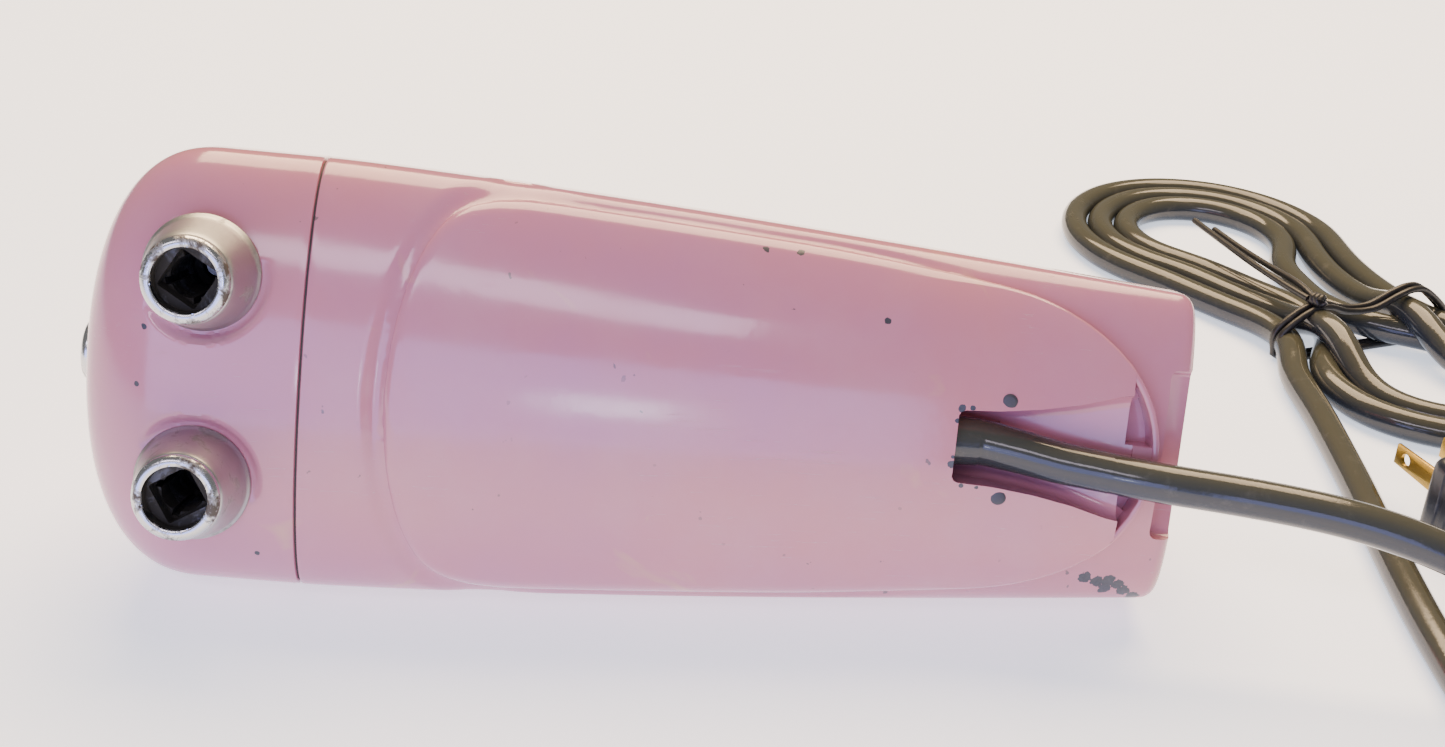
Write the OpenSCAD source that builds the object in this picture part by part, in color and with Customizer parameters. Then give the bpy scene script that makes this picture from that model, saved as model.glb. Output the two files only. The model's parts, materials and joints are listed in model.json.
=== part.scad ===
// Portable electric hand mixer lying on its side, with its lead tied in a hank.
// Every piece is drawn upright, nose at x = 0 and handle along +z, and lay_down() puts it
// on the surface z = 0 as it lies at rest. Millimetres.

/* [Body] */
// Length from the nose to the heel
body_len = 214; // [205:1:225]
// Half of the width at the nose seam
nose_half_w = 42.3; // [41:0.1:44]
// Half of the width at the heel
heel_half_w = 31; // [30:0.5:33]
// Length of the rounded nose
nose_len = 24; // [22:1:28]
// Height of the top above the widest level
top_h = 46; // [45:0.5:50]
// Height of the top at the heel
heel_top_h = 39; // [37:0.5:42]
// Depth of the underside below the widest level
under_d = 16.7; // [16:0.1:19]
// Depth of the underside at the heel
heel_under_d = 9; // [8:0.5:11]
// Wall thickness of the castings
wall = 2.4; // [2:0.1:3]
// Place of the seam between gear case and motor housing
seam_x = 43; // [42:0.5:45]
// Thickness of the gasket in the seam
gasket_t = 0.4; // [0.3:0.1:0.6]

/* [Belly] */
// How far the belly panel stands proud of the collar
belly_proud = 1.5; // [1:0.1:2]
// Front of the belly panel on the centre line
belly_front_x = 59; // [57:0.5:62]
// Centre of the arch that ends the belly panel
arch_x = 167.5; // [160:0.5:170]
// Length of that arch
arch_len = 40; // [36:0.5:41]
// Half width of that arch
arch_half_w = 31; // [28:0.5:31]
// Place where the belly panel is cut off flat
belly_cut_x = 200.5; // [198:0.5:202]
// Front wall of the lead's slot
slot_x = 167; // [165:0.5:169]
// Width of the slot
slot_w = 14; // [12:0.5:15]
// Depth of the notch in the heel's edge
notch_d = 5; // [4:0.5:6]
// Half width of that notch
notch_half_w = 17; // [14:0.5:18]

/* [Beater drive] */
// Place of the spindles along the body
spindle_x = 24; // [24:0.5:25]
// Distance of each spindle from the centre line
spindle_y = 20; // [20:0.1:20.2]
// Width across a socket cone's foot
cone_d = 22; // [21:0.5:23]
// Width across the ring at a socket's mouth
ring_d = 16.5; // [16:0.1:17]
// How far the ring stands below the widest level
mouth_d = 27.5; // [26:0.5:28]
// Diameter of the beater socket's bore
socket_d = 8; // [7.6:0.1:8.2]
// Teeth on each worm gear
gear_teeth = 31; // [31:1:31]
// Starts of the worm
worm_starts = 2; // [2:1:2]
// Height of the motor shaft above the widest level
shaft_z = 16; // [15:0.5:17]

/* [Motor] */
// Diameter of the motor shaft
shaft_d = 6; // [5:0.5:6]
// Outer diameter of the field laminations
stator_d = 52; // [50:1:53]
// Length of the laminations
stack_len = 35; // [30:1:36]
// Diameter of the armature
armature_d = 29; // [27:0.5:29]
// Diameter of the fan
fan_d = 48; // [44:1:50]

/* [Handle] */
// Height of the grip's centre line
grip_z = 86; // [82:1:90]
// Half of the grip's width
grip_half_w = 14; // [12:0.5:15]
// Half of the grip's height
grip_half_h = 11.5; // [10:0.5:12]
// Centre of the front post
front_post_x = 30; // [29:0.5:31]
// Centre of the rear post
rear_post_x = 182; // [178:1:184]
// Height of the seats that the posts stand on
seat_z = 47; // [47:0.5:49]
// Stroke of the beater ejector
eject_stroke = 6; // [4:0.5:6]
// Stroke of the speed control
speed_stroke = 12; // [9:1:12]

/* [Lead] */
// Diameter of the lead
lead_d = 7.8; // [7:0.1:8]

/* [Lying on its side] */
// Tilt of the underside above the level
lie_tilt = 17.1; // [16.8:0.1:17.4]
// Dip of the heel
lie_dip = 2.8; // [2.6:0.1:3]

/* [Hidden] */
$fn = 48;
ring_points = 40;
nose_power = 2.4;
taper_power = 1.35;
paint = "pink";
lie_lift = 46.39;
lie_x = -106.14;
lie_y = -32.33;
lead_z = -10.5;
housing_x = seam_x + gasket_t;
gear_r = gear_teeth / 2;
worm_r = spindle_y - gear_r;
tooth_pitch = PI;
worm_lead = worm_starts * tooth_pitch;
lead_angle = atan(worm_lead / (2 * PI * worm_r));
gear_face = 6;
bolt_y = 26;
bolt_z = 2;
stack_x = 80;
gap = 0.3;
run_gap = 0.05;
nose_boss_end = 12;
plate_z = 23;
eject_x = 34;
eject_r = 6.1;
yoke_z = plate_z + 4 + eject_stroke;
speed_x = 70;
rivet_x = slot_x + 9.5;

// The mixer's own frame laid on its side
module lay_down() {
    translate([lie_x, lie_y, lie_lift]) rotate([0, lie_dip, 0]) rotate([-(90 + lie_tilt), 0, 0]) children();
}

// The same for one point
function laid(p) = let (
    y = -sin(lie_tilt) * p[1] + cos(lie_tilt) * p[2],
    z = -cos(lie_tilt) * p[1] - sin(lie_tilt) * p[2]
) [lie_x + cos(lie_dip) * p[0] + sin(lie_dip) * z, lie_y + y, lie_lift - sin(lie_dip) * p[0] + cos(lie_dip) * z];

// ---- outline of the body, station by station ----
function power_round(t, n) = t >= 1 ? 1 : pow(1 - pow(1 - t, n), 1 / n);
function taper(x) = x <= seam_x ? 0 : pow((x - seam_x) / (body_len - seam_x), taper_power);
function half_width(x) = nose_half_w - (nose_half_w - heel_half_w) * taper(x);
function fall(x) = pow(max(0, (x - 60) / (body_len - 60)), 2);
function top_height(x) = top_h - (top_h - heel_top_h) * fall(x);
function under_depth(x) = under_d - (under_d - heel_under_d) * fall(x);
function belly_depth(x) = under_d + belly_proud - 3 * fall(x);
function signed_pow(v, n) = sign(v) * pow(abs(v), n);

// One cross section at x, its surface moved out by grow; the nose closes at -grow
function section(x, w, top, under, grow) = let (
    wide = power_round((x + grow) / (nose_len + grow), nose_power),
    high = power_round((x + grow) / (nose_len + 6 + grow), nose_power)
) [for (j = [0:ring_points - 1]) let (
    a = 360 * j / ring_points,
    n = a < 180 ? 2 / 2.4 : 2 / 2.1
) [x, (w + grow) * wide * signed_pow(cos(a), n), ((a < 180 ? top : under) + grow) * high * signed_pow(sin(a), n)]];

function body_section(x, grow) = section(x, half_width(x), top_height(x), under_depth(x), grow);

// Closed skin through a list of rings that all have the same number of points
module skin(rings) {
    n = len(rings[0]);
    last = len(rings) - 1;
    sides = [for (i = [0:last - 1]) for (j = [0:n - 1]) let (
        a = i * n + j,
        b = i * n + (j + 1) % n
    ) each [[a, b + n, b], [a, a + n, b + n]]];
    ends = [[for (j = [0:n - 1]) j], [for (j = [n - 1:-1:0]) last * n + j]];
    polyhedron([for (ring = rings) each ring], concat(sides, ends));
}

// The body's own shape from the nose to x_end
module body_form(grow, x_end, x_start = -100) {
    nose = [for (i = [0:9]) -grow + 0.15 + (nose_len + grow) * (1 - cos(10 * i))];
    rear = [for (x = [34:10:x_end - 1]) x];
    stations = concat([for (x = nose) if (x > x_start) x], [for (x = rear) if (x > x_start) x], [x_end]);
    first = x_start > -100 ? [x_start] : [];
    skin([for (x = concat(first, stations)) body_section(x, grow)]);
}

// The belly panel's outline in plan, drawn inwards by inset
module belly_outline(inset = 0) {
    arch_end = arch_x + arch_len;
    front = [for (a = [0:15:90]) [belly_front_x + inset + 14 * (1 - cos(a)), (36.5 - inset) * sin(a)]];
    flank = [for (x = [90:20:150]) [x, half_width(x) - 2.5 - inset]];
    arch = [for (a = [90:-10:0]) [arch_x + (arch_len - inset) * cos(a), (arch_half_w - inset) * sin(a)]];
    upper = concat(front, flank, arch);
    polygon(concat(upper, [for (i = [len(upper) - 2:-1:1]) [upper[i][0], -upper[i][1]]]));
}

// ---- castings ----
module foot_outline(grow = 0) {
    polygon([for (j = [0:31]) let (a = 360 * j / 32)
        [(grip_half_h + grow) * signed_pow(cos(a), 0.8), (grip_half_w + grow) * signed_pow(sin(a), 0.8)]]);
}

module seat(x, z_low) {
    translate([x, 0, z_low]) linear_extrude(seat_z - z_low) foot_outline(1.2);
}

module seat_screw_holes(x) {
    for (side = [-1, 1]) translate([x, 9 * side, 20]) cylinder(r = 1.8, h = 60);
}

module socket_places() {
    for (side = [-1, 1]) translate([spindle_x, side * spindle_y, 0]) children();
}

module gear_case() {
    color(paint) lay_down() difference() {
        union() {
            difference() {
                body_form(0, seam_x);
                body_form(-wall, seam_x + 1);
            }
            intersection() {
                body_form(-wall / 2, seam_x);
                union() {
                    seat(front_post_x, 38.2);
                    translate([-1, 0, shaft_z]) rotate([0, 90, 0]) cylinder(d = 16, h = nose_boss_end + 1);
                    socket_places() translate([0, 0, -20]) cylinder(d = 19, h = 23);
                    for (side = [-1, 1]) translate([30, side * (bolt_y + 4), bolt_z]) {
                        rotate([0, 90, 0]) cylinder(d = 10, h = seam_x - 30);
                    }
                }
            }
            seat(front_post_x, 43);
        }
        translate([5, 0, shaft_z]) rotate([0, 90, 0]) cylinder(d = 12, h = 30);
        socket_places() translate([0, 0, -40]) cylinder(d = 15, h = 60);
        socket_places() translate([0, 0, -40]) cylinder(d = cone_d + 1.4, h = 40 - 14.2);
        translate([0.6, 0, 6]) rotate([0, -90, 0]) cylinder(d = 13, h = 10);
        translate([eject_x, 0, 30]) cylinder(d = 5, h = 30);
        seat_screw_holes(front_post_x);
        for (side = [-1, 1]) translate([32, side * bolt_y, bolt_z]) rotate([0, 90, 0]) cylinder(d = 4, h = 20);
    }
}

// Trough that lets the lead out: narrow and deep at its front wall, wide and shallow at the cut edge
trough_stations = [[slot_x, 0, -5], [175, 0.4, -6.4], [183, 1.4, -8.4], [191, 3, -10.4], [198, 5, -12], [201, 5.6, -12.5]];

module trough(grow) {
    skin([for (station = trough_stations) let (
        x = station[0] == slot_x ? slot_x - grow : station[0] + grow,
        w = slot_w / 2 + station[1] + grow,
        floor_z = station[2] + grow,
        corner = 2.5 + grow
    ) [[x, w, -40], [x, w, floor_z - corner], [x, w - 0.3 * corner, floor_z - 0.3 * corner],
        [x, w - corner, floor_z], [x, corner - w, floor_z], [x, 0.3 * corner - w, floor_z - 0.3 * corner],
        [x, -w, floor_z - corner], [x, -w, -40]]]);
}

module motor_housing() {
    rear_inside = body_len - wall;
    notch_z = -4.5;
    color(paint) lay_down() difference() {
        union() {
            difference() {
                union() {
                    body_form(0, body_len, housing_x);
                    intersection() {
                        skin([for (x = concat([for (step = [50:12:190]) step], belly_cut_x)) belly_section(x)]);
                        translate([0, 0, -40]) linear_extrude(45) belly_outline();
                    }
                    intersection() {
                        skin([for (x = [190:8:214]) belly_section(x)]);
                        translate([0, 0, -40]) linear_extrude(40) difference() {
                            belly_outline();
                            belly_outline(1.4);
                        }
                        translate([190, -60, -13.5]) cube([30, 120, 14]);
                    }
                    translate([belly_cut_x - 2, -2.4, -13]) cube([8, 4.8, 5]);
                }
                difference() {
                    body_form(-wall, rear_inside, housing_x - 1);
                    trough(wall);
                    translate([body_len - notch_d - wall, -notch_half_w - wall, -30]) {
                        cube([20, 2 * (notch_half_w + wall), 30 + notch_z + wall]);
                    }
                    translate([rear_post_x, 0, 35]) linear_extrude(20) foot_outline(1.2);
                    for (side = [-1, 1]) translate([body_len - 12, side * bolt_y, bolt_z]) {
                        rotate([0, 90, 0]) cylinder(d = 9, h = 20);
                    }
                }
            }
            seat(rear_post_x, 40);
        }
        trough(0);
        translate([slot_x - 20, 0, lead_z]) rotate([0, 90, 0]) cylinder(d = 10.6, h = 30);
        heel_windows();
        translate([body_len - notch_d, -notch_half_w, -30]) cube([20, 2 * notch_half_w, 30 + notch_z]);
        for (row = [0:5]) translate([body_len - 8, -16, 6 + 5 * row]) cube([20, 32, 2.4]);
        translate([rear_post_x, 0, 25]) cylinder(d = 9, h = 40);
        seat_screw_holes(rear_post_x);
        for (side = [-1, 1]) translate([body_len - 20, side * bolt_y, bolt_z]) rotate([0, 90, 0]) {
            cylinder(d = 4.2, h = 30);
            translate([0, 0, 16]) cylinder(d = 7.4, h = 30);
        }
    }
}

function belly_section(x) = let (w = half_width(x) - 0.6, d = belly_depth(x)) [
    for (j = [0:ring_points - 1]) let (a = 360 * j / ring_points)
        [x, w * signed_pow(cos(a), 0.95), a < 180 ? 2 * sin(a) : d * signed_pow(sin(a), 0.95)]];

// Open windows between the belly's cut edge and the rim of its arch, with a bridge and two ribs
module heel_windows() {
    translate([0, 0, -40]) linear_extrude(40 - 4.5) difference() {
        intersection() {
            belly_outline(1.4);
            translate([belly_cut_x, -40]) square([30, 80]);
        }
        translate([belly_cut_x, -2.4]) square([30, 4.8]);
        for (side = [-1, 1]) translate([belly_cut_x + 3, side * 13]) rotate(side * 35) square([16, 2], center = true);
    }
}

module seam_gasket() {
    color("black") lay_down() difference() {
        intersection() {
            body_form(-0.7, seam_x + gasket_t);
            translate([seam_x, -60, -60]) cube([gasket_t, 120, 120]);
        }
        body_form(-wall - 0.2, seam_x + 5);
        for (side = [-1, 1]) translate([32, side * bolt_y, bolt_z]) rotate([0, 90, 0]) cylinder(d = 4.6, h = 20);
    }
}

// ---- handle ----
// Centre line of the loop; t runs from 0 at the front post to 180 at the rear post
function loop_point(t) = let (
    mid = (front_post_x + rear_post_x) / 2,
    reach = (rear_post_x - front_post_x) / 2
) [mid - reach * signed_pow(cos(t), 0.5), 0, seat_z + (grip_z - seat_z) * pow(sin(t), 0.5)];
function loop_tilt(t) = let (p = loop_point(max(0, t - 1.5)), q = loop_point(min(180, t + 1.5)))
    t <= 0 ? 90 : t >= 180 ? -90 : atan2(q[2] - p[2], q[0] - p[0]);

// One section across the loop, its surface moved out by grow
function loop_section(t, grow) = let (c = loop_point(t), tilt = loop_tilt(t)) [
    for (j = [0:23]) let (
        a = 360 * j / 24,
        across = (grip_half_w + grow) * signed_pow(cos(a), 0.8),
        out = (grip_half_h + grow) * signed_pow(sin(a), 0.8)
    ) [c[0] - out * sin(tilt), across, c[2] + out * cos(tilt)]];

module loop_form(grow) {
    turns = [0, 1, 4, 8, 14, 22, 32, 44, 58, 74];
    skin([for (t = concat(turns, [90], [for (i = [9:-1:0]) 180 - turns[i]])) loop_section(t, grow)]);
}

module cover_window(grow) {
    translate([62 - grow, -9 - grow, 60]) cube([88 + 2 * grow, 18 + 2 * grow, 19 + grow]);
}

module handle_shell() {
    color(paint) lay_down() difference() {
        loop_form(0);
        difference() {
            loop_form(-2.6);
            translate([0, -30, 0]) cube([300, 60, seat_z + 6]);
        }
        cover_window(0.1);
        translate([eject_x, 0, seat_z - 1]) cylinder(d = 5, h = 20);
        translate([eject_x, 0, seat_z + 13]) cylinder(r = eject_r + gap, h = 60);
        translate([speed_x - 4.2, -4.2, grip_z]) cube([speed_stroke + 8.4, 8.4, 30]);
        translate([rear_post_x, 0, seat_z - 1]) cylinder(d = 9, h = 20);
        seat_screw_holes(front_post_x);
        seat_screw_holes(rear_post_x);
    }
}

module handle_cover() {
    color(paint) lay_down() intersection() {
        difference() {
            loop_form(0);
            loop_form(-2.4);
        }
        cover_window(0);
    }
}

module handle_screws() {
    color("silver") lay_down() for (x = [front_post_x, rear_post_x]) for (side = [-1, 1]) {
        z_head = x == front_post_x ? 38.2 : 35;
        translate([x, 9 * side, z_head]) cylinder(r = 1.7, h = seat_z + 5 - z_head);
        translate([x, 9 * side, z_head - 2]) cylinder(r = 3.2, h = 2);
    }
}

// ---- nose fittings ----
module nose_medallion() {
    color("silver") lay_down() translate([0, 0, 6]) rotate([0, -90, 0]) {
        translate([0, 0, -0.6]) cylinder(d = 13, h = 1.6);
        translate([0, 0, 1]) rotate_extrude() polygon([[0, 0], [6.5, 0], [6, 1.2], [4.6, 1.6], [4.2, 1.1], [0, 1.1]]);
    }
}

module socket_cone(side) {
    foot_z = -12;
    tip_z = 1.8 - mouth_d;
    flare = -14.4;
    color("silver") lay_down() translate([spindle_x, side * spindle_y, 0]) difference() {
        rotate_extrude() polygon([
            [0, tip_z], [ring_d / 2 - 0.3, tip_z], [ring_d / 2, tip_z + 0.5], [cone_d / 2 - 0.8, flare - 0.8],
            [cone_d / 2, flare], [7.4, flare], [7.4, 2.6], [0, 2.6]
        ]);
        translate([0, 0, -50]) cylinder(r = 6.5 + run_gap, h = 60);
        translate([0, 0, tip_z - 1]) cylinder(d = 13.8, h = 1);
    }
}

module left_socket_cone() { socket_cone(-1); }
module right_socket_cone() { socket_cone(1); }

// Rotating spindle: ring at the mouth, keyed socket, hollow stem up to its upper bearing
module spindle(side) {
    mouth = -mouth_d;
    color("gainsboro") lay_down() translate([spindle_x, side * spindle_y, 0]) difference() {
        union() {
            translate([0, 0, mouth]) rotate_extrude() polygon([
                [0, 0], [ring_d / 2 - 1.1, 0], [ring_d / 2 - 0.2, 0.5], [ring_d / 2 - 0.2, 1.5], [0, 1.5]
            ]);
            translate([0, 0, mouth + 1]) cylinder(r = 6.5, h = mouth_d - 1 + 3.4);
            translate([0, 0, 3]) cylinder(r = 5, h = 23.4);
        }
        translate([0, 0, mouth - 1]) cylinder(r = 5.9, h = 4);
        translate([0, 0, mouth - 1]) cylinder(d = socket_d, h = 25);
        translate([0, 0, mouth - 1]) intersection() {
            cylinder(r = 5, h = 23);
            for (turn = [0, 90]) rotate(turn) translate([-6, -0.7, 0]) cube([12, 1.4, 40]);
        }
        cylinder(r = 2.6, h = 60, center = true);
    }
}

module left_spindle() { spindle(-1); }
module right_spindle() { spindle(1); }

// Worm gear on a spindle; its straight teeth lean by the worm's lead angle
module worm_gear(side) {
    tooth = [[-1.9, -0.95], [0.8, -0.36], [0.8, 0.36], [-1.9, 0.95]];
    color("tan") lay_down() translate([spindle_x, side * spindle_y, shaft_z - gear_face / 2]) difference() {
        union() {
            cylinder(r = gear_r - 1.3, h = gear_face);
            translate([0, 0, -9.4]) cylinder(r = 8, h = gear_face + 10.4);
            for (i = [0:gear_teeth - 1]) rotate((i + 0.5) * 360 / gear_teeth - 90 * side) {
                translate([gear_r, 0, gear_face / 2]) rotate([-lead_angle, 0, 0]) {
                    linear_extrude(gear_face * 0.94, center = true) polygon(tooth);
                }
            }
        }
        translate([0, 0, -12]) cylinder(r = 5, h = 30);
    }
}

module left_worm_gear() { worm_gear(-1); }
module right_worm_gear() { worm_gear(1); }

module gear_plate() {
    color("silver") lay_down() difference() {
        intersection() {
            translate([nose_boss_end + 0.6, -60, plate_z]) cube([seam_x - nose_boss_end - 1.6, 120, 3]);
            body_form(-wall - gap, seam_x);
        }
        socket_places() cylinder(r = 5 + run_gap, h = 60);
        socket_places() translate([0, 0, plate_z + 2]) cylinder(r = 7, h = 5);
    }
}

module ejector_yoke() {
    color("silver") lay_down() difference() {
        union() {
            translate([spindle_x - 4, -spindle_y - 4, yoke_z]) cube([8, 2 * spindle_y + 8, 3]);
            translate([spindle_x, -5, yoke_z]) cube([eject_x - spindle_x + 5, 10, 3]);
            socket_places() translate([0, 0, -2]) cylinder(r = 2.2, h = yoke_z + 3);
        }
        translate([eject_x, 0, yoke_z - 1]) cylinder(r = 1.5, h = 10);
    }
}

module ejector_rod() {
    color("silver") lay_down() translate([eject_x, 0, 0]) {
        translate([0, 0, yoke_z]) cylinder(r = 1.5, h = 3);
        translate([0, 0, yoke_z + 3]) cylinder(r = 2.2, h = seat_z + 35 - yoke_z - 3);
    }
}

module ejector_button() {
    color("silver") lay_down() translate([eject_x, 0, seat_z + 21]) difference() {
        rotate_extrude() polygon([[0, 0], [eject_r, 0], [eject_r, 22], [5.2, 23.6], [3.2, 24.6], [0, 25]]);
        translate([0, 0, -1]) cylinder(r = 2.2, h = 15);
        translate([0, 0, -1]) cylinder(r = 4.8, h = 8);
    }
}

// Coil spring along +z from z = 0
module coil_spring(r, wire_r, turns, length) {
    skin([for (i = [0:turns * 12]) let (a = 30 * i, z = length * i / (turns * 12))
        [for (j = [0:5]) let (reach = r + wire_r * cos(60 * j))
            [reach * cos(a), reach * sin(a), z - wire_r * sin(60 * j)]]]);
}

module ejector_spring() {
    color("silver") lay_down() translate([eject_x, 0, seat_z + 6.6]) coil_spring(3.6, 0.5, 6, 20.6);
}

// ---- motor ----
module along_shaft(x) {
    translate([x, 0, shaft_z]) rotate([0, 90, 0]) children();
}

module ring(x, r_out, r_in, h) {
    along_shaft(x) difference() {
        cylinder(r = r_out, h = h);
        translate([0, 0, -1]) cylinder(r = r_in, h = h + 2);
    }
}

module nose_bearing() { color("tan") lay_down() ring(6, 6, shaft_d / 2 + run_gap, 5.5); }
module front_bearing() { color("tan") lay_down() ring(housing_x + 1, 8, shaft_d / 2 + run_gap, 7); }
module rear_bearing() { color("tan") lay_down() ring(146, 7, shaft_d / 2 + run_gap, 8); }

module bulkhead() {
    color("silver") lay_down() difference() {
        union() {
            intersection() {
                translate([housing_x + 1, -60, -40]) cube([3, 120, 120]);
                body_form(-wall - gap, 120);
            }
            ring(housing_x + 3, 11, 8, 5);
        }
        along_shaft(housing_x) cylinder(r = 8, h = 12);
        bolt_holes();
    }
}

module bolt_holes() {
    for (side = [-1, 1]) translate([30, side * bolt_y, bolt_z]) rotate([0, 90, 0]) cylinder(d = 4.2, h = 150);
}

module rear_bracket() {
    color("silver") lay_down() difference() {
        union() {
            along_shaft(148) cylinder(r = 10, h = 4);
            intersection() {
                translate([148, -31, -3]) cube([4, 62, 22]);
                body_form(-wall - gap, 200);
            }
        }
        along_shaft(140) cylinder(r = 7, h = 20);
        translate([40, 0, 0]) bolt_holes();
    }
}

module stator_core() {
    color("dimgray") lay_down() difference() {
        union() {
            ring(stack_x, stator_d / 2, armature_d / 2 + 0.5, stack_len);
            for (side = [-1, 1]) translate([stack_x, side * bolt_y, bolt_z]) rotate([0, 90, 0]) {
                cylinder(r = 4.5, h = stack_len);
            }
        }
        for (side = [-1, 1]) translate([stack_x - 1, side * 18.5 - 3, shaft_z - 10]) cube([stack_len + 2, 6, 20]);
        bolt_holes();
    }
}

module field_coils() {
    color("brown") lay_down() for (side = [-1, 1]) {
        translate([stack_x - 6, side * 18.5 - 2.8, shaft_z - 9.6]) cube([stack_len + 12, 5.6, 19.2]);
    }
}

module brush_holders() {
    color("tan") lay_down() for (side = [-1, 1]) difference() {
        translate([126, side > 0 ? 11 : -27, shaft_z - 5]) cube([22, 16, 10]);
        translate([128, side > 0 ? 10 : -24, shaft_z - 3]) cube([6, 14, 6]);
    }
}

module carbon_brushes() {
    color("dimgray") lay_down() for (side = [-1, 1]) {
        translate([128.2, side > 0 ? 9.1 : -18.1, shaft_z - 2.8]) cube([5.6, 9, 5.6]);
    }
}

module brush_springs() {
    color("silver") lay_down() for (side = [-1, 1]) {
        translate([131, side * 18.4, shaft_z]) rotate([-90 * side, 0, 0]) coil_spring(2, 0.3, 3, 5);
    }
}

// Worm with rounded thread crests, one ring of its section every 20 degrees of twist
module worm(length) {
    crest = [[-54, 3.3], [-22, 5.3], [0, 5.4], [22, 5.3], [54, 3.3]];
    steps = ceil(18 * length / worm_lead);
    skin([for (i = [0:steps]) let (x = length * i / steps, turn = 360 * x / worm_lead)
        [for (k = [0:worm_starts - 1]) for (c = crest) let (a = turn + 180 * k + c[0])
            [x - length / 2, c[1] * cos(a), c[1] * sin(a)]]]);
}

module motor_shaft() {
    color("silver") lay_down() union() {
        along_shaft(7) cylinder(d = shaft_d, h = 152);
        translate([spindle_x, 0, shaft_z]) worm(3 * worm_lead);
    }
}

module armature_core() {
    color("gray") lay_down() difference() {
        ring(stack_x, armature_d / 2, shaft_d / 2, stack_len);
        for (i = [0:11]) along_shaft(stack_x - 1) rotate(30 * i) translate([armature_d / 2 - 5, -1.2, 0]) {
            cube([6, 2.4, stack_len + 2]);
        }
    }
}

module armature_winding() {
    color("chocolate") lay_down() {
        ring(stack_x - 6, 13, shaft_d / 2 + 0.6, 6);
        ring(stack_x + stack_len, 13, shaft_d / 2 + 0.6, 6);
        for (i = [0:11]) along_shaft(stack_x) rotate(30 * i) translate([armature_d / 2 - 4.8, -1.1, 0]) {
            cube([3.6, 2.2, stack_len]);
        }
    }
}

module commutator() {
    color("peru") lay_down() difference() {
        ring(124, 9, shaft_d / 2, 14);
        for (i = [0:11]) along_shaft(125) rotate(30 * i) translate([8, -0.3, 0]) cube([2, 0.6, 20]);
    }
}

module cooling_fan() {
    color("silver") lay_down() {
        ring(57, 8, shaft_d / 2, 10);
        ring(65, fan_d / 2, 7.9, 1.5);
        for (i = [0:8]) along_shaft(57) rotate(40 * i) translate([7.2, 0, 0]) rotate(25) cube([15, 1, 9]);
    }
}

module through_bolts() {
    head_x = body_len - 4;
    color("silver") lay_down() for (side = [-1, 1]) translate([0, side * bolt_y, bolt_z]) rotate([0, 90, 0]) {
        translate([0, 0, 33]) cylinder(r = 1.95, h = head_x - 33);
        translate([0, 0, head_x]) difference() {
            cylinder(r = 3.5, h = 2.4);
            translate([-4, -0.5, 1.2]) cube([8, 1, 4]);
        }
    }
}

// ---- electrical parts ----
module speed_switch() {
    color("black") lay_down() {
        translate([speed_x - 2, -7, grip_z - 5]) cube([30, 14, 8]);
        for (i = [0:2]) translate([speed_x + 2 + 10 * i, -1.5, grip_z - 6.6]) cube([1, 3, 1.6]);
        for (end = [-2, 25]) translate([speed_x + end, -5, grip_z - 9]) cube([3, 10, 4]);
    }
}

module speed_slide() {
    color("silver") lay_down() translate([speed_x, 0, grip_z]) {
        translate([-4, -4, 3.3]) cube([8, 8, 9]);
        translate([0, 0, grip_half_h + 0.4]) difference() {
            translate([-6, -6.5, 0]) cube([12, 13, 3]);
            for (i = [-2:2]) translate([2 * i - 0.4, -7, 2.3]) cube([0.8, 14, 2]);
        }
    }
}

// ---- sweeping a tube along points ----
function unit(v) = v / norm(v);
function curve_point(p, i, t) = let (
    n = len(p) - 1,
    a = p[max(0, i - 1)],
    b = p[i],
    c = p[min(n, i + 1)],
    d = p[min(n, i + 2)]
) b + t * (c - a) / 2 + t * t * (a - 2.5 * b + 2 * c - d / 2) + t * t * t * (1.5 * (b - c) + (d - a) / 2);
function curve(p, steps) = [
    for (i = [0:len(p) - 2]) for (k = [0:steps - 1]) curve_point(p, i, k / steps),
    p[len(p) - 1]
];
function heading(p, i) = unit(p[min(len(p) - 1, i + 1)] - p[max(0, i - 1)]);

// Tube of radius r through the points, its section kept upright
module tube(p, r, sides) {
    skin([for (i = [0:len(p) - 1]) let (
        ahead = heading(p, i),
        right = unit(cross(ahead, [0, 0.05, 1])),
        up = cross(right, ahead)
    ) [for (j = [0:sides - 1]) let (a = -360 * j / sides) p[i] + r * (cos(a) * right + sin(a) * up)]]);
}

module internal_leads() {
    color("white") lay_down() for (side = [-1, 1]) tube(curve([
        [157.4, 2 * side, lead_z], [154, 3 * side, -6], [156, 4 * side, 8], [162, 4 * side, 19],
        [172, 3 * side, 26], [rear_post_x - 2, 2 * side, 32], [rear_post_x - 0.4, 1.9 * side, 40],
        [rear_post_x - 0.4, 1.9 * side, 48], [rear_post_x - 1, 2 * side, 60],
        [174, 2.5 * side, 78], [160, 2.5 * side, 84], [104, 3 * side, 83], [speed_x + 28, 3 * side, 83]
    ], 2), 1.1, 6);
}

// ---- where the lead leaves ----
module cord_grommet() {
    color("black") lay_down() translate([slot_x, 0, lead_z]) rotate([0, 90, 0]) difference() {
        union() {
            translate([0, 0, -wall - 2]) cylinder(d = 10.4, h = wall + 2);
            cylinder(d1 = 10.4, d2 = 9.2, h = 6);
        }
        translate([0, 0, -10]) cylinder(d = lead_d, h = 30);
    }
}

module cord_clamp() {
    clamp_z = lead_z + 1.4;
    clamp_h = 4.6;
    color("silver") lay_down() difference() {
        translate([158.6, -8.5, clamp_z]) cube([3.6, 17, clamp_h]);
        translate([150, 0, lead_z]) rotate([0, 90, 0]) cylinder(d = lead_d, h = 20);
        translate([150, -lead_d / 2, -20]) cube([20, lead_d, 20 + lead_z]);
    }
    color("silver") lay_down() for (side = [-1, 1]) {
        translate([160, side * 7.4 - 1.1, clamp_z]) cube([slot_x - wall - 160, 2.2, clamp_h]);
    }
}

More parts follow.
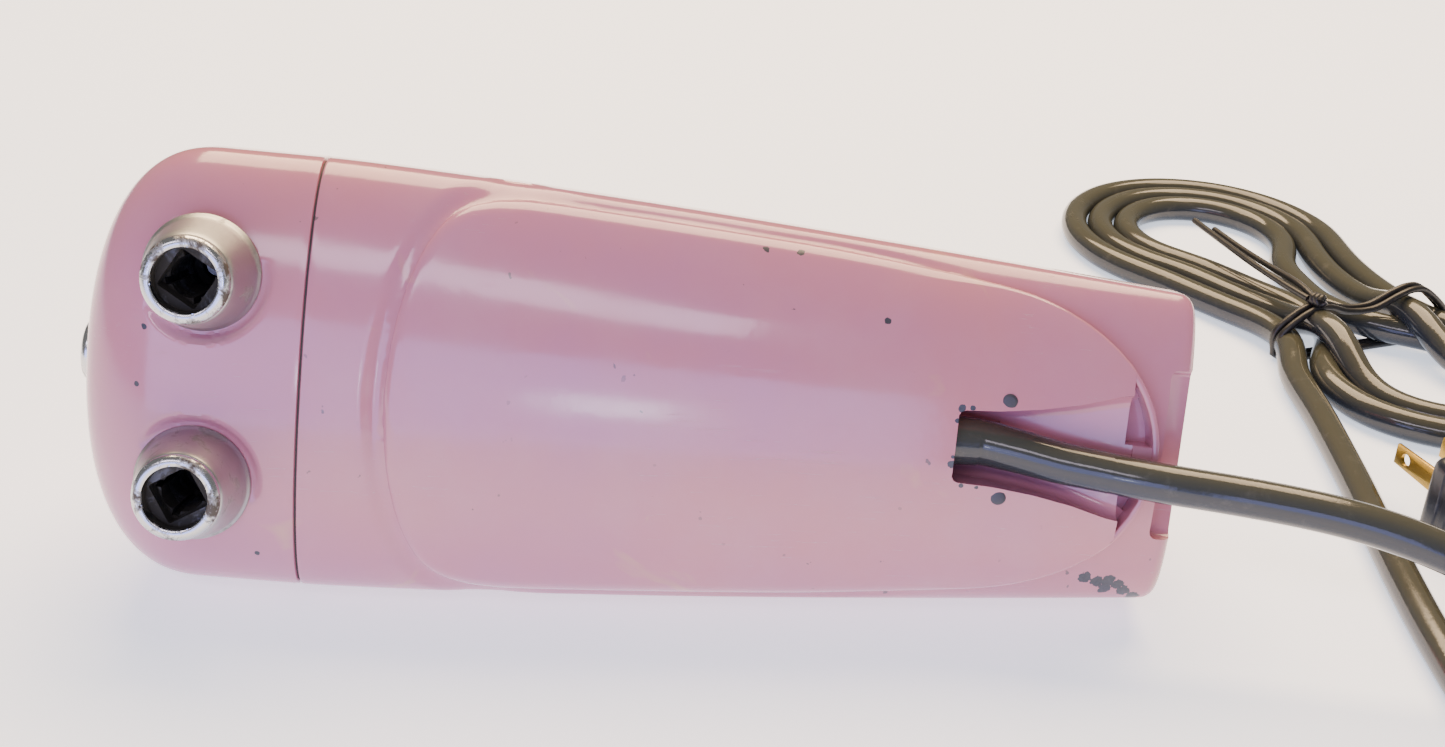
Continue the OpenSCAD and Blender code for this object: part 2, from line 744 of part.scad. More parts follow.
module clamp_rivets() {
    color("gray") lay_down() for (side = [-1, 1]) translate([rivet_x, side * (slot_w / 2 + 1.4), -16.4]) {
        cylinder(d = 3, h = 1.5);
        cylinder(d = 1.6, h = 6);
    }
}

// ---- the lead on the surface ----
lead_r = lead_d / 2;
lead_route = concat(
    [for (p = [
        [157.5, 0, -10.5], [162, 0, -10.5], [167, 0, -10.5], [170.5, 0, -10.5], [174, 0, -10.6],
        [179.5, 0.7, -11.8], [186.3, 1.8, -13.6], [195.5, 2.6, -15.8], [204.4, 3.3, -17.6]
    ]) laid(p)],
    [
        [108.3, -50.4, 37.3], [120.5, -52.1, 36.3], [135.8, -54.9, 35.2], [150.7, -58.5, 32.2],
        [160, -60.7, 28.9], [170, -62.8, 24.4], [180, -64.6, 18.9], [188.5, -65.8, 14.4]
    ],
    [for (a = [82:-15:-173]) [192 + 30 * cos(a), -96 + 30 * sin(a), a > 15 ? 4.1 + 0.00184 * pow(a - 22, 2) : 4]],
    [
        [162, -92, 4], [162.5, -80, 4], [162.1, -68.2, 4],
        [162.3, -52.6, 4], [162.9, -37, 4], [164, -21.4, 4], [165.3, -5.8, 4], [166.6, 9.8, 4],
        [167.7, 25.4, 4], [168.5, 41, 4], [170.2, 56.6, 4]
    ]
);
plug_route = [
    [197, -25, 10], [199.3, -32.4, 9.1], [205.1, -46.3, 5], [216.7, -56.3, 4], [231.9, -58.6, 4],
    [246.1, -52.3, 4], [255.1, -39.7, 4], [256.8, -24.4, 4], [252.8, -9.3, 4], [248.2, 5.7, 4],
    [243.2, 20.5, 4], [237.7, 34.9, 4.5], [232.5, 46, 5]
];
hank_far = [164, 175];
hank_near = [206, 66];
hank_r = 36;
hank_h = 2 * lead_d;
hank_run = hank_near - hank_far;
hank_turn = atan2(hank_run[1], hank_run[0]);
plug_turn = atan2(29, -9);

module lead() { color("dimgray") tube(curve(lead_route, 2), lead_r, 10); }
module plug_lead() { color("dimgray") tube(curve(plug_route, 2), lead_r, 10); }

module lead_hank() {
    length = norm(hank_run);
    ends = concat(
        [for (a = [90:15:270]) [hank_r * cos(a), hank_r * sin(a)]],
        [for (a = [-90:15:90]) [length + hank_r * cos(a), hank_r * sin(a)]]
    );
    color("dimgray") translate(hank_far) rotate(hank_turn) linear_extrude(hank_h) polygon(ends);
}

// Twist tie: a strap over the hank, down to the surface on both sides
module lead_tie() {
    color("black") translate(hank_far) rotate(hank_turn) translate([0.74 * norm(hank_run), 0, 0]) difference() {
        translate([-2, -hank_r - 1.5, 0]) cube([4, 2 * hank_r + 3, hank_h + 1.5]);
        translate([-5, -hank_r, -1]) cube([10, 2 * hank_r, hank_h + 1]);
    }
}

module plug_frame() {
    translate([197, -25, 10]) rotate(plug_turn) children();
}

module plug_body() {
    color("black") plug_frame() rotate([0, 90, 0]) difference() {
        union() {
            cylinder(d1 = 11, d2 = 14, h = 10);
            translate([-10, -12.5, 10]) cube([20, 25, 20]);
        }
        for (side = [-1, 1]) translate([-3.2, side * 6.35 - 0.8, 20]) cube([6.4, 1.6, 11]);
    }
}

module plug_blades() {
    color("gold") plug_frame() for (side = [-1, 1]) translate([20, side * 6.35 - 0.75, -3.15]) difference() {
        cube([27, 1.5, 6.3]);
        translate([23, -1, 3.15]) rotate([-90, 0, 0]) cylinder(d = 3, h = 4);
    }
}

gear_case();
motor_housing();
seam_gasket();
handle_shell();
handle_cover();
nose_medallion();
left_socket_cone();
right_socket_cone();
gear_plate();
nose_bearing();
front_bearing();
rear_bearing();
bulkhead();
rear_bracket();
stator_core();
field_coils();
brush_holders();
carbon_brushes();
brush_springs();
speed_switch();
internal_leads();
through_bolts();
handle_screws();
cord_grommet();
cord_clamp();
clamp_rivets();
motor_shaft();
armature_core();
armature_winding();
commutator();
cooling_fan();
left_spindle();
left_worm_gear();
right_spindle();
right_worm_gear();
ejector_button();
ejector_rod();
ejector_yoke();
ejector_spring();
speed_slide();
lead();
lead_hank();
lead_tie();
plug_lead();
plug_body();
plug_blades();
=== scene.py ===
import json
from math import atan2, cos, pi, radians, sin

import bpy
import numpy as np
from mathutils import Matrix, Vector


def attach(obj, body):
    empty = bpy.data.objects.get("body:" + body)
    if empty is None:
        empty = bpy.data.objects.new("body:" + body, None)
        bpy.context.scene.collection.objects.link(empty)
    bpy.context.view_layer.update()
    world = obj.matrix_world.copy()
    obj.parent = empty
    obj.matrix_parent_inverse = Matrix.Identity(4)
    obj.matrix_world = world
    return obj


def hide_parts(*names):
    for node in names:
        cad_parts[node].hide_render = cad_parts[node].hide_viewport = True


# A portable hand mixer lying on its side. Shapes are made upright in millimetres, with the nose
# at x = 0 and the handle along +z, and settle() lays them down in the row frame in metres.

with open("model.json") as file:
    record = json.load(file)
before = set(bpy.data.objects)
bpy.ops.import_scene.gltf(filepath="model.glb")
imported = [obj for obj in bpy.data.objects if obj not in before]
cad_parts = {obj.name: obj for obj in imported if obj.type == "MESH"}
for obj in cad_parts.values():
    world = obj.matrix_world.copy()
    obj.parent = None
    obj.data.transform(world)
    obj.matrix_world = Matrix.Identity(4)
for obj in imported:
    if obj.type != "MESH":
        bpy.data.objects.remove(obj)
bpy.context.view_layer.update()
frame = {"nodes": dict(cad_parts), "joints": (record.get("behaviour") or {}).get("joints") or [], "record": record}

# ---- the mixer's own frame, from the joints and the mounts ----
joints = {j["name"]: j for j in frame["joints"]}
mounts = {m["name"]: m for m in frame["record"]["mounts"]}
ALONG = Vector(joints["motor_spin"]["axis"]).normalized()
UPWARD = Vector(joints["left_spindle_spin"]["axis"]).normalized()
SIDEWAYS = UPWARD.cross(ALONG)
sockets = [Vector(mounts[name]["pos_m"]) for name in ("left_beater_socket", "right_beater_socket")]
ORIGIN = (sockets[0] + sockets[1]) / 2 - 0.024 * ALONG + 0.014 * UPWARD
LAID = Matrix.Translation(ORIGIN) @ Matrix((ALONG, SIDEWAYS, UPWARD)).transposed().to_4x4() @ Matrix.Scale(0.001, 4)

# ---- sizes, in millimetres ----
BODY_LEN, SEAM_X, HOUSING_X, WALL = 214, 43, 43.4, 2.4
SPINDLE_X, SPINDLE_Y, EJECTOR_X, SPEED_X = 24, 20, 34, 70
SLOT_X, LEAD_Z, RIVET_X, RIVET_Y = 167, -10.5, 176.5, 9.3
NOTCH_DEPTH, NOTCH_HALF_W, NOTCH_Z = 5, 17, -4.5
THROUGH_BOLT_Y, THROUGH_BOLT_Z = 26, 2
BELLY_CUT_X, ARCH_X, ARCH_LEN, ARCH_HALF_W = 200.5, 167.5, 40, 31
FRONT_POST_X, REAR_POST_X, SEAT_Z, GRIP_Z = 30, 182, 47, 86
GRIP_HALF_W, GRIP_HALF_H = 14, 11.5
LEAD_R = 3.9


# ---- making and finishing meshes ----
def rest():
    """Object mode, with nothing selected."""
    if bpy.context.object and bpy.context.object.mode != "OBJECT":
        bpy.ops.object.mode_set(mode="OBJECT")
    bpy.ops.object.select_all(action="DESELECT")


def pick(piece):
    rest()
    piece.select_set(True)
    bpy.context.view_layer.objects.active = piece


def started(name):
    """The primitive that was just added, by its new name."""
    piece = bpy.context.object
    piece.name = piece.data.name = name
    return piece


def smoothstep(value, low, high):
    t = np.clip((value - low) / (high - low), 0, 1)
    return t * t * (3 - 2 * t)


def points(piece):
    co = np.empty(len(piece.data.vertices) * 3)
    piece.data.vertices.foreach_get("co", co)
    return co.reshape(-1, 3)


def set_points(piece, co):
    piece.data.vertices.foreach_set("co", np.asarray(co, float).ravel())
    piece.data.update()


def tidy(piece, merge=0.004):
    """Merges doubles, closes open ends and turns the faces outwards."""
    pick(piece)
    bpy.ops.object.mode_set(mode="EDIT")
    bpy.ops.mesh.select_all(action="SELECT")
    bpy.ops.mesh.remove_doubles(threshold=merge)
    bpy.ops.mesh.dissolve_degenerate(threshold=merge / 4)
    bpy.ops.mesh.select_all(action="SELECT")
    bpy.ops.mesh.delete_loose()
    bpy.ops.mesh.select_all(action="SELECT")
    bpy.ops.mesh.fill_holes(sides=0)
    bpy.ops.mesh.select_all(action="SELECT")
    bpy.ops.mesh.normals_make_consistent(inside=False)
    rest()
    return piece


def skin(name, rows, columns, place):
    """A grid with rows x columns of faces, its points put where place(row, column) says, then closed."""
    rest()
    bpy.ops.mesh.primitive_grid_add(x_subdivisions=columns, y_subdivisions=rows, size=2)
    piece = started(name)
    co = points(piece)
    column = np.rint((co[:, 0] + 1) / 2 * columns).astype(int)
    row = np.rint((co[:, 1] + 1) / 2 * rows).astype(int)
    set_points(piece, place(row, column))
    return tidy(piece)


def apply(piece, kind, **settings):
    pick(piece)
    modifier = piece.modifiers.new(kind.lower(), kind)
    for key, value in settings.items():
        setattr(modifier, key, value)
    bpy.ops.object.modifier_apply(modifier=modifier.name)
    return piece


def combine(piece, other, operation):
    """Boolean of piece with other, which is used up."""
    apply(piece, "BOOLEAN", operation=operation, object=other, solver="EXACT")
    bpy.data.objects.remove(other)
    return piece


def cut(piece, *tools):
    for tool in tools:
        combine(piece, tool, "DIFFERENCE")
    return piece


def weld(piece, *others):
    for other in others:
        combine(piece, other, "UNION")
    return piece


def joined(*pieces):
    rest()
    for piece in pieces:
        piece.select_set(True)
    bpy.context.view_layer.objects.active = pieces[0]
    bpy.ops.object.join()
    return pieces[0]


def smooth(piece, angle=32):
    pick(piece)
    bpy.ops.object.shade_smooth_by_angle(angle=radians(angle))
    rest()
    return piece


def block(name, low, high, rounding=0.0, segments=3):
    """A block between two corners, its edges rounded."""
    rest()
    low, high = Vector(low), Vector(high)
    bpy.ops.mesh.primitive_cube_add(size=1, location=(low + high) / 2, scale=high - low)
    bpy.ops.object.transform_apply(location=True, rotation=True, scale=True)
    piece = started(name)
    if rounding:
        apply(piece, "BEVEL", width=rounding, segments=segments, limit_method="ANGLE")
    return piece


def rod(name, start, end, radius, sides=32):
    """A plain bar between two points."""
    rest()
    start, end = Vector(start), Vector(end)
    bpy.ops.mesh.primitive_cylinder_add(vertices=sides, radius=radius, depth=(end - start).length)
    piece = started(name)
    turn = (end - start).to_track_quat("Z", "Y").to_matrix().to_4x4()
    piece.data.transform(Matrix.Translation((start + end) / 2) @ turn)
    return piece


def turned(name, profile, centre=(0, 0, 0), axis=(0, 0, 1), steps=96):
    """A profile of (radius, height) turned about an axis, as on a lathe."""
    ring = np.array(profile, float)
    frame_z = Vector(axis).to_track_quat("Z", "Y").to_matrix()
    spin = 2 * pi * np.arange(steps + 1) / steps
    spin[-1] = 0
    piece = skin(name, len(profile) - 1, steps, lambda row, column: np.stack([
        ring[row, 0] * np.cos(spin[column]), ring[row, 0] * np.sin(spin[column]), ring[row, 1]], 1))
    piece.data.transform(Matrix.Translation(centre) @ frame_z.to_4x4())
    return piece


def plate(name, outline, z_low, z_high):
    """A flat outline given thickness."""
    rest()
    bpy.ops.mesh.primitive_circle_add(vertices=len(outline), fill_type="NGON")
    piece = started(name)
    set_points(piece, [(x, y, z_low) for x, y in outline])
    pick(piece)
    bpy.ops.object.mode_set(mode="EDIT")
    bpy.ops.mesh.select_all(action="SELECT")
    bpy.ops.mesh.extrude_region_move(TRANSFORM_OT_translate={"value": (0, 0, z_high - z_low)})
    bpy.ops.mesh.select_all(action="SELECT")
    bpy.ops.mesh.normals_make_consistent(inside=False)
    rest()
    return piece


def swept(name, line, radii, sides=16):
    """A round bar that follows a line of points, with its own radius at each."""
    line = np.asarray(line, float)
    ahead = np.gradient(line, axis=0)
    ahead /= np.linalg.norm(ahead, axis=1)[:, None]
    across = [np.cross(ahead[0], (0.3, 0.2, 1.0))]
    for step in ahead:
        turned_on = across[-1] - step * (across[-1] @ step)
        across.append(turned_on / np.linalg.norm(turned_on))
    across = np.array(across[1:])
    upward = np.cross(ahead, across)
    around = np.r_[np.linspace(0, 2 * pi, sides, endpoint=False), 0.0]
    radii = np.broadcast_to(np.asarray(radii, float), len(line))
    return skin(name, len(line) - 1, sides, lambda row, column: line[row] + radii[row][:, None] * (
        np.cos(around[column])[:, None] * across[row] + np.sin(around[column])[:, None] * upward[row]))


def curved(spots, count):
    """So many evenly spaced points on a smooth line through the spots."""
    spots = np.array(spots, float)
    dense = []
    for i in range(len(spots) - 1):
        before, start, end, after = spots[max(i - 1, 0)], spots[i], spots[i + 1], spots[min(i + 2, len(spots) - 1)]
        for t in np.linspace(0, 1, 10, endpoint=False):
            pull = t * t * (before - 2.5 * start + 2 * end - after / 2)
            twist = t ** 3 * (1.5 * (start - end) + (after - before) / 2)
            dense.append(start + t * (end - before) / 2 + pull + twist)
    return evenly(np.array(dense + [spots[-1]]), count)


def evenly(line, count, start=0.0, end=None):
    """So many points at even distances along a line, from start to end."""
    run = np.r_[0, np.cumsum(np.linalg.norm(np.diff(line, axis=0), axis=1))]
    at = np.linspace(start, run[-1] if end is None else end, count)
    return np.stack([np.interp(at, run, line[:, k]) for k in range(line.shape[1])], 1)


def settle(piece, body, slot, finish, *stands_for, place=LAID):
    """Puts a finished piece in its place, gives it its finish, and makes it ride."""
    piece.data.transform(place)
    piece.data.materials.clear()
    piece.data.materials.append(finish)
    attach(piece, body)
    if stands_for:
        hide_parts(*stands_for)
    return piece


# ---- finishes ----
class Finish:
    """A procedural material; its patterns lie on the piece's own coordinates."""

    def __init__(self, name, colour=(0.5, 0.5, 0.5), roughness=0.5, metallic=0.0, coat=0.0, coat_roughness=0.1):
        self.material = bpy.data.materials.new(name)
        self.material.use_nodes = True
        self.tree = self.material.node_tree
        self.shader = self.tree.nodes["Principled BSDF"]
        self.set("Base Color", (*colour, 1))
        self.set("Roughness", roughness)
        self.set("Metallic", metallic)
        self.set("Coat Weight", coat)
        self.set("Coat Roughness", coat_roughness)
        self.place = self.node("TexCoord").outputs["Object"]

    def set(self, socket, value):
        if isinstance(value, bpy.types.NodeSocket):
            self.tree.links.new(value, self.shader.inputs[socket])
        else:
            self.shader.inputs[socket].default_value = value

    def node(self, kind, inputs=None, **settings):
        made = self.tree.nodes.new("ShaderNode" + kind)
        for key, value in settings.items():
            setattr(made, key, value)
        for key, value in (inputs or {}).items():
            if isinstance(value, bpy.types.NodeSocket):
                self.tree.links.new(value, made.inputs[key])
            else:
                made.inputs[key].default_value = value
        return made

    def upright(self):
        """Coordinates in metres in the mixer's own upright frame."""
        return self.node("Mapping", {"Vector": self.place, "Location": ORIGIN, "Rotation": LAID.to_euler()},
                         vector_type="TEXTURE").outputs[0]

    def noise(self, scale, detail=3.0, roughness=0.5, distortion=0.0, vector=None):
        return self.node("TexNoise", {"Vector": vector or self.place, "Scale": scale, "Detail": detail,
                                      "Roughness": roughness, "Distortion": distortion}).outputs["Fac"]

    def stretched(self, scale, vector=None):
        return self.node("Mapping", {"Vector": vector or self.place, "Scale": scale}).outputs[0]

    def ramp(self, amount, *stops):
        """Maps a number to a number between stops of (position, value)."""
        made = self.node("ValToRGB", {"Fac": amount})
        elements = made.color_ramp.elements
        for element, (position, value) in zip(elements, (stops[0], stops[-1])):
            element.position, element.color = position, (value, value, value, 1)
        for position, value in stops[1:-1]:
            elements.new(position).color = (value, value, value, 1)
        return made.outputs["Color"]

    def blend(self, amount, first, second):
        made = self.node("Mix", data_type="RGBA")
        sockets_used = [made.inputs[0], made.inputs[6], made.inputs[7]]
        for socket, value in zip(sockets_used, (amount, first, second)):
            if isinstance(value, bpy.types.NodeSocket):
                self.tree.links.new(value, socket)
            elif socket is sockets_used[0]:
                socket.default_value = value
            else:
                socket.default_value = (*value, 1)
        return made.outputs[2]

    def maths(self, operation, first, second=0.5, clamp=False):
        return self.node("Math", {0: first, 1: second}, operation=operation, use_clamp=clamp).outputs[0]

    def bump(self, height, strength=0.2, distance=0.0002):
        self.set("Normal", self.node("Bump", {"Height": height, "Strength": strength, "Distance": distance}).outputs[0])

    def near(self, centres, radius, ragged=0.75, grain=800):
        """1 within a ragged radius of any of the places, given upright in millimetres, else 0."""
        wobble = self.maths("MULTIPLY", self.noise(grain, 3), radius * 0.001 * ragged * 2)
        found = None
        for centre in centres:
            apart = self.node("VectorMath", {0: self.place, 1: LAID @ Vector(centre)}, operation="DISTANCE")
            reach = self.maths("ADD", apart.outputs["Value"], wobble)
            inside = self.maths("LESS_THAN", reach, radius * 0.001 * (1 + ragged))
            found = inside if found is None else self.maths("MAXIMUM", found, inside)
        return found


def painted(name, chips=()):
    """Baked pink enamel over zinc: uneven tint, small sags, fine scratches, grime, and chips down to the metal."""
    f = Finish(name, roughness=0.36, coat=0.4, coat_roughness=0.2)
    tint = f.noise(14, 4, 0.6)
    colour = f.blend(f.ramp(tint, (0.3, 0), (0.7, 1)), PINK, PINK_WARM)
    faded = f.ramp(f.noise(38, 5, 0.65), (0.45, 0), (0.75, 0.5))
    colour = f.blend(faded, colour, PINK_FADED)
    stain = f.ramp(f.noise(55, 3, 0.5, 0.8), (0.66, 0), (0.78, 0.55))
    colour = f.blend(stain, colour, (0.62, 0.42, 0.22))
    scratch_lines = f.noise(60, 2, 0.6, 0.2, f.stretched((1.2, 22, 22)))
    scratch = f.maths("MULTIPLY", f.ramp(scratch_lines, (0.668, 0), (0.675, 1), (0.69, 1), (0.7, 0)),
                      f.ramp(f.noise(22, 2), (0.5, 0), (0.62, 1)))
    colour = f.blend(f.maths("MULTIPLY", scratch, 0.35), colour, (0.36, 0.24, 0.26))
    speck = f.ramp(f.noise(420, 2, 0.5), (0.735, 0), (0.75, 1))
    speck = f.maths("MULTIPLY", speck, f.ramp(f.noise(30, 2), (0.5, 0), (0.6, 1)))
    colour = f.blend(f.maths("MULTIPLY", speck, 0.8), colour, (0.12, 0.1, 0.1))
    bare = None
    for centres, radius in chips:
        spot = f.near(centres, radius)
        bare = spot if bare is None else f.maths("MAXIMUM", bare, spot)
    if bare is None:
        bare = f.maths("MULTIPLY", speck, 0.5)
    metal_tone = f.blend(f.noise(1500, 3), (0.025, 0.027, 0.036), (0.075, 0.075, 0.09))
    colour = f.blend(bare, colour, metal_tone)
    f.set("Base Color", colour)
    f.set("Metallic", f.maths("MULTIPLY", bare, 0.3))
    f.set("Roughness", f.maths("ADD", f.maths("MULTIPLY", f.noise(70, 4, 0.6), 0.22),
                               f.maths("MULTIPLY", f.maths("MAXIMUM", bare, scratch), 0.25)))
    orange_peel = f.noise(520, 2, 0.5)
    waves = f.noise(45, 3, 0.5)
    height = f.maths("ADD", f.maths("MULTIPLY", orange_peel, 0.22), waves)
    height = f.maths("SUBTRACT", height, f.maths("MULTIPLY", f.maths("MAXIMUM", bare, scratch), 0.9))
    f.bump(height, 0.16, 0.00035)
    return f.material


def machined(name, colour, roughness, ring_scale=1400, dirt=(0.05, 0.045, 0.035), dirt_amount=0.5, coverage=0.58):
    """Metal turned on a lathe about the spindles' axis: fine rings, and dirt that has settled."""
    f = Finish(name, colour, roughness, metallic=1.0)
    place = f.upright()
    rings = f.noise(ring_scale, 2, 0.5, 0, f.stretched((0.02, 0.02, 1), place))
    dirty = f.maths("MULTIPLY", f.ramp(f.noise(170, 5, 0.7, 0.4), (coverage, 0), (coverage + 0.09, 1)), dirt_amount)
    shade = f.blend(f.noise(90, 4, 0.6), colour, tuple(0.72 * c for c in colour))
    f.set("Base Color", f.blend(dirty, shade, dirt))
    f.set("Metallic", f.maths("SUBTRACT", 1.0, f.maths("MULTIPLY", dirty, 0.9)))
    worn = f.maths("ADD", f.maths("MULTIPLY", dirty, 0.4), roughness)
    f.set("Roughness", f.maths("ADD", f.maths("MULTIPLY", rings, 0.16), worn))
    f.bump(f.maths("ADD", rings, f.maths("MULTIPLY", dirty, 2.0)), 0.25, 0.0001)
    return f.material


def cast(name, colour, roughness=0.55, metallic=0.9, grain=900):
    """Sand or die cast metal as it left the mould, lightly oxidised."""
    f = Finish(name, colour, roughness, metallic)
    cloud = f.noise(60, 5, 0.65)
    f.set("Base Color", f.blend(f.ramp(cloud, (0.35, 0), (0.7, 1)), colour, tuple(0.6 * c for c in colour)))
    f.set("Roughness", f.maths("ADD", f.maths("MULTIPLY", cloud, 0.3), roughness - 0.12))
    f.bump(f.noise(grain, 4, 0.7), 0.3, 0.00015)
    return f.material


def moulded(name, colour, roughness=0.42, worn=(0.2, 0.2, 0.2)):
    """Moulded plastic or rubber: faint flow marks, scuffs and dust."""
    f = Finish(name, colour, roughness)
    scuff = f.ramp(f.noise(160, 5, 0.7, 0.3), (0.56, 0), (0.72, 0.5))
    f.set("Base Color", f.blend(scuff, colour, worn))
    f.set("Roughness", f.maths("ADD", f.maths("MULTIPLY", scuff, 0.35), roughness))
    f.bump(f.maths("ADD", f.noise(1300, 3, 0.6), f.maths("MULTIPLY", scuff, 0.6)), 0.22, 0.00012)
    return f.material


def striped(name, dark, light, pitch, roughness=0.5, metallic=0.7, direction=(1, 0, 0)):
    """Sheets or wires lying side by side along one of the mixer's own directions."""
    f = Finish(name, light, roughness, metallic)
    axis = "XYZ"[max(range(3), key=lambda i: abs(direction[i]))]
    bands = f.node("TexWave", {"Vector": f.upright(), "Scale": 2 * pi / (20 * pitch * 0.001), "Distortion": 0.4,
                               "Detail": 2.0, "Detail Scale": 3.0},
                   wave_type="BANDS", bands_direction=axis).outputs["Fac"]
    varied = f.maths("MULTIPLY", bands, f.ramp(f.noise(130, 3), (0.3, 0.55), (0.7, 1)))
    f.set("Base Color", f.blend(varied, dark, light))
    f.bump(bands, 0.5, 0.0002)
    return f.material


PINK, PINK_WARM, PINK_FADED = (0.48, 0.19, 0.3), (0.54, 0.2, 0.24), (0.54, 0.25, 0.31)

# ---- camera ----
camera_data = bpy.data.cameras.new("camera")
camera = bpy.data.objects.new("camera", camera_data)
bpy.context.scene.collection.objects.link(camera)
camera_data.sensor_width = 36
camera_data.lens = 1758.3 / 1445 * 36
camera_data.clip_start, camera_data.clip_end = 0.01, 20
yaw, pitch, roll = radians(2.1), radians(27), radians(3.5)
ahead = Vector((sin(yaw) * cos(pitch), cos(yaw) * cos(pitch), -sin(pitch)))
level = ahead.cross(Vector((0, 0, 1))).normalized()
upright = level.cross(ahead)
right = cos(roll) * level + sin(roll) * upright
top = cos(roll) * upright - sin(roll) * level
camera.matrix_world = Matrix.Translation((0.0052, -0.3388, 0.2046)) @ Matrix((right, top, -ahead)).transposed().to_4x4()
bpy.context.scene.camera = camera

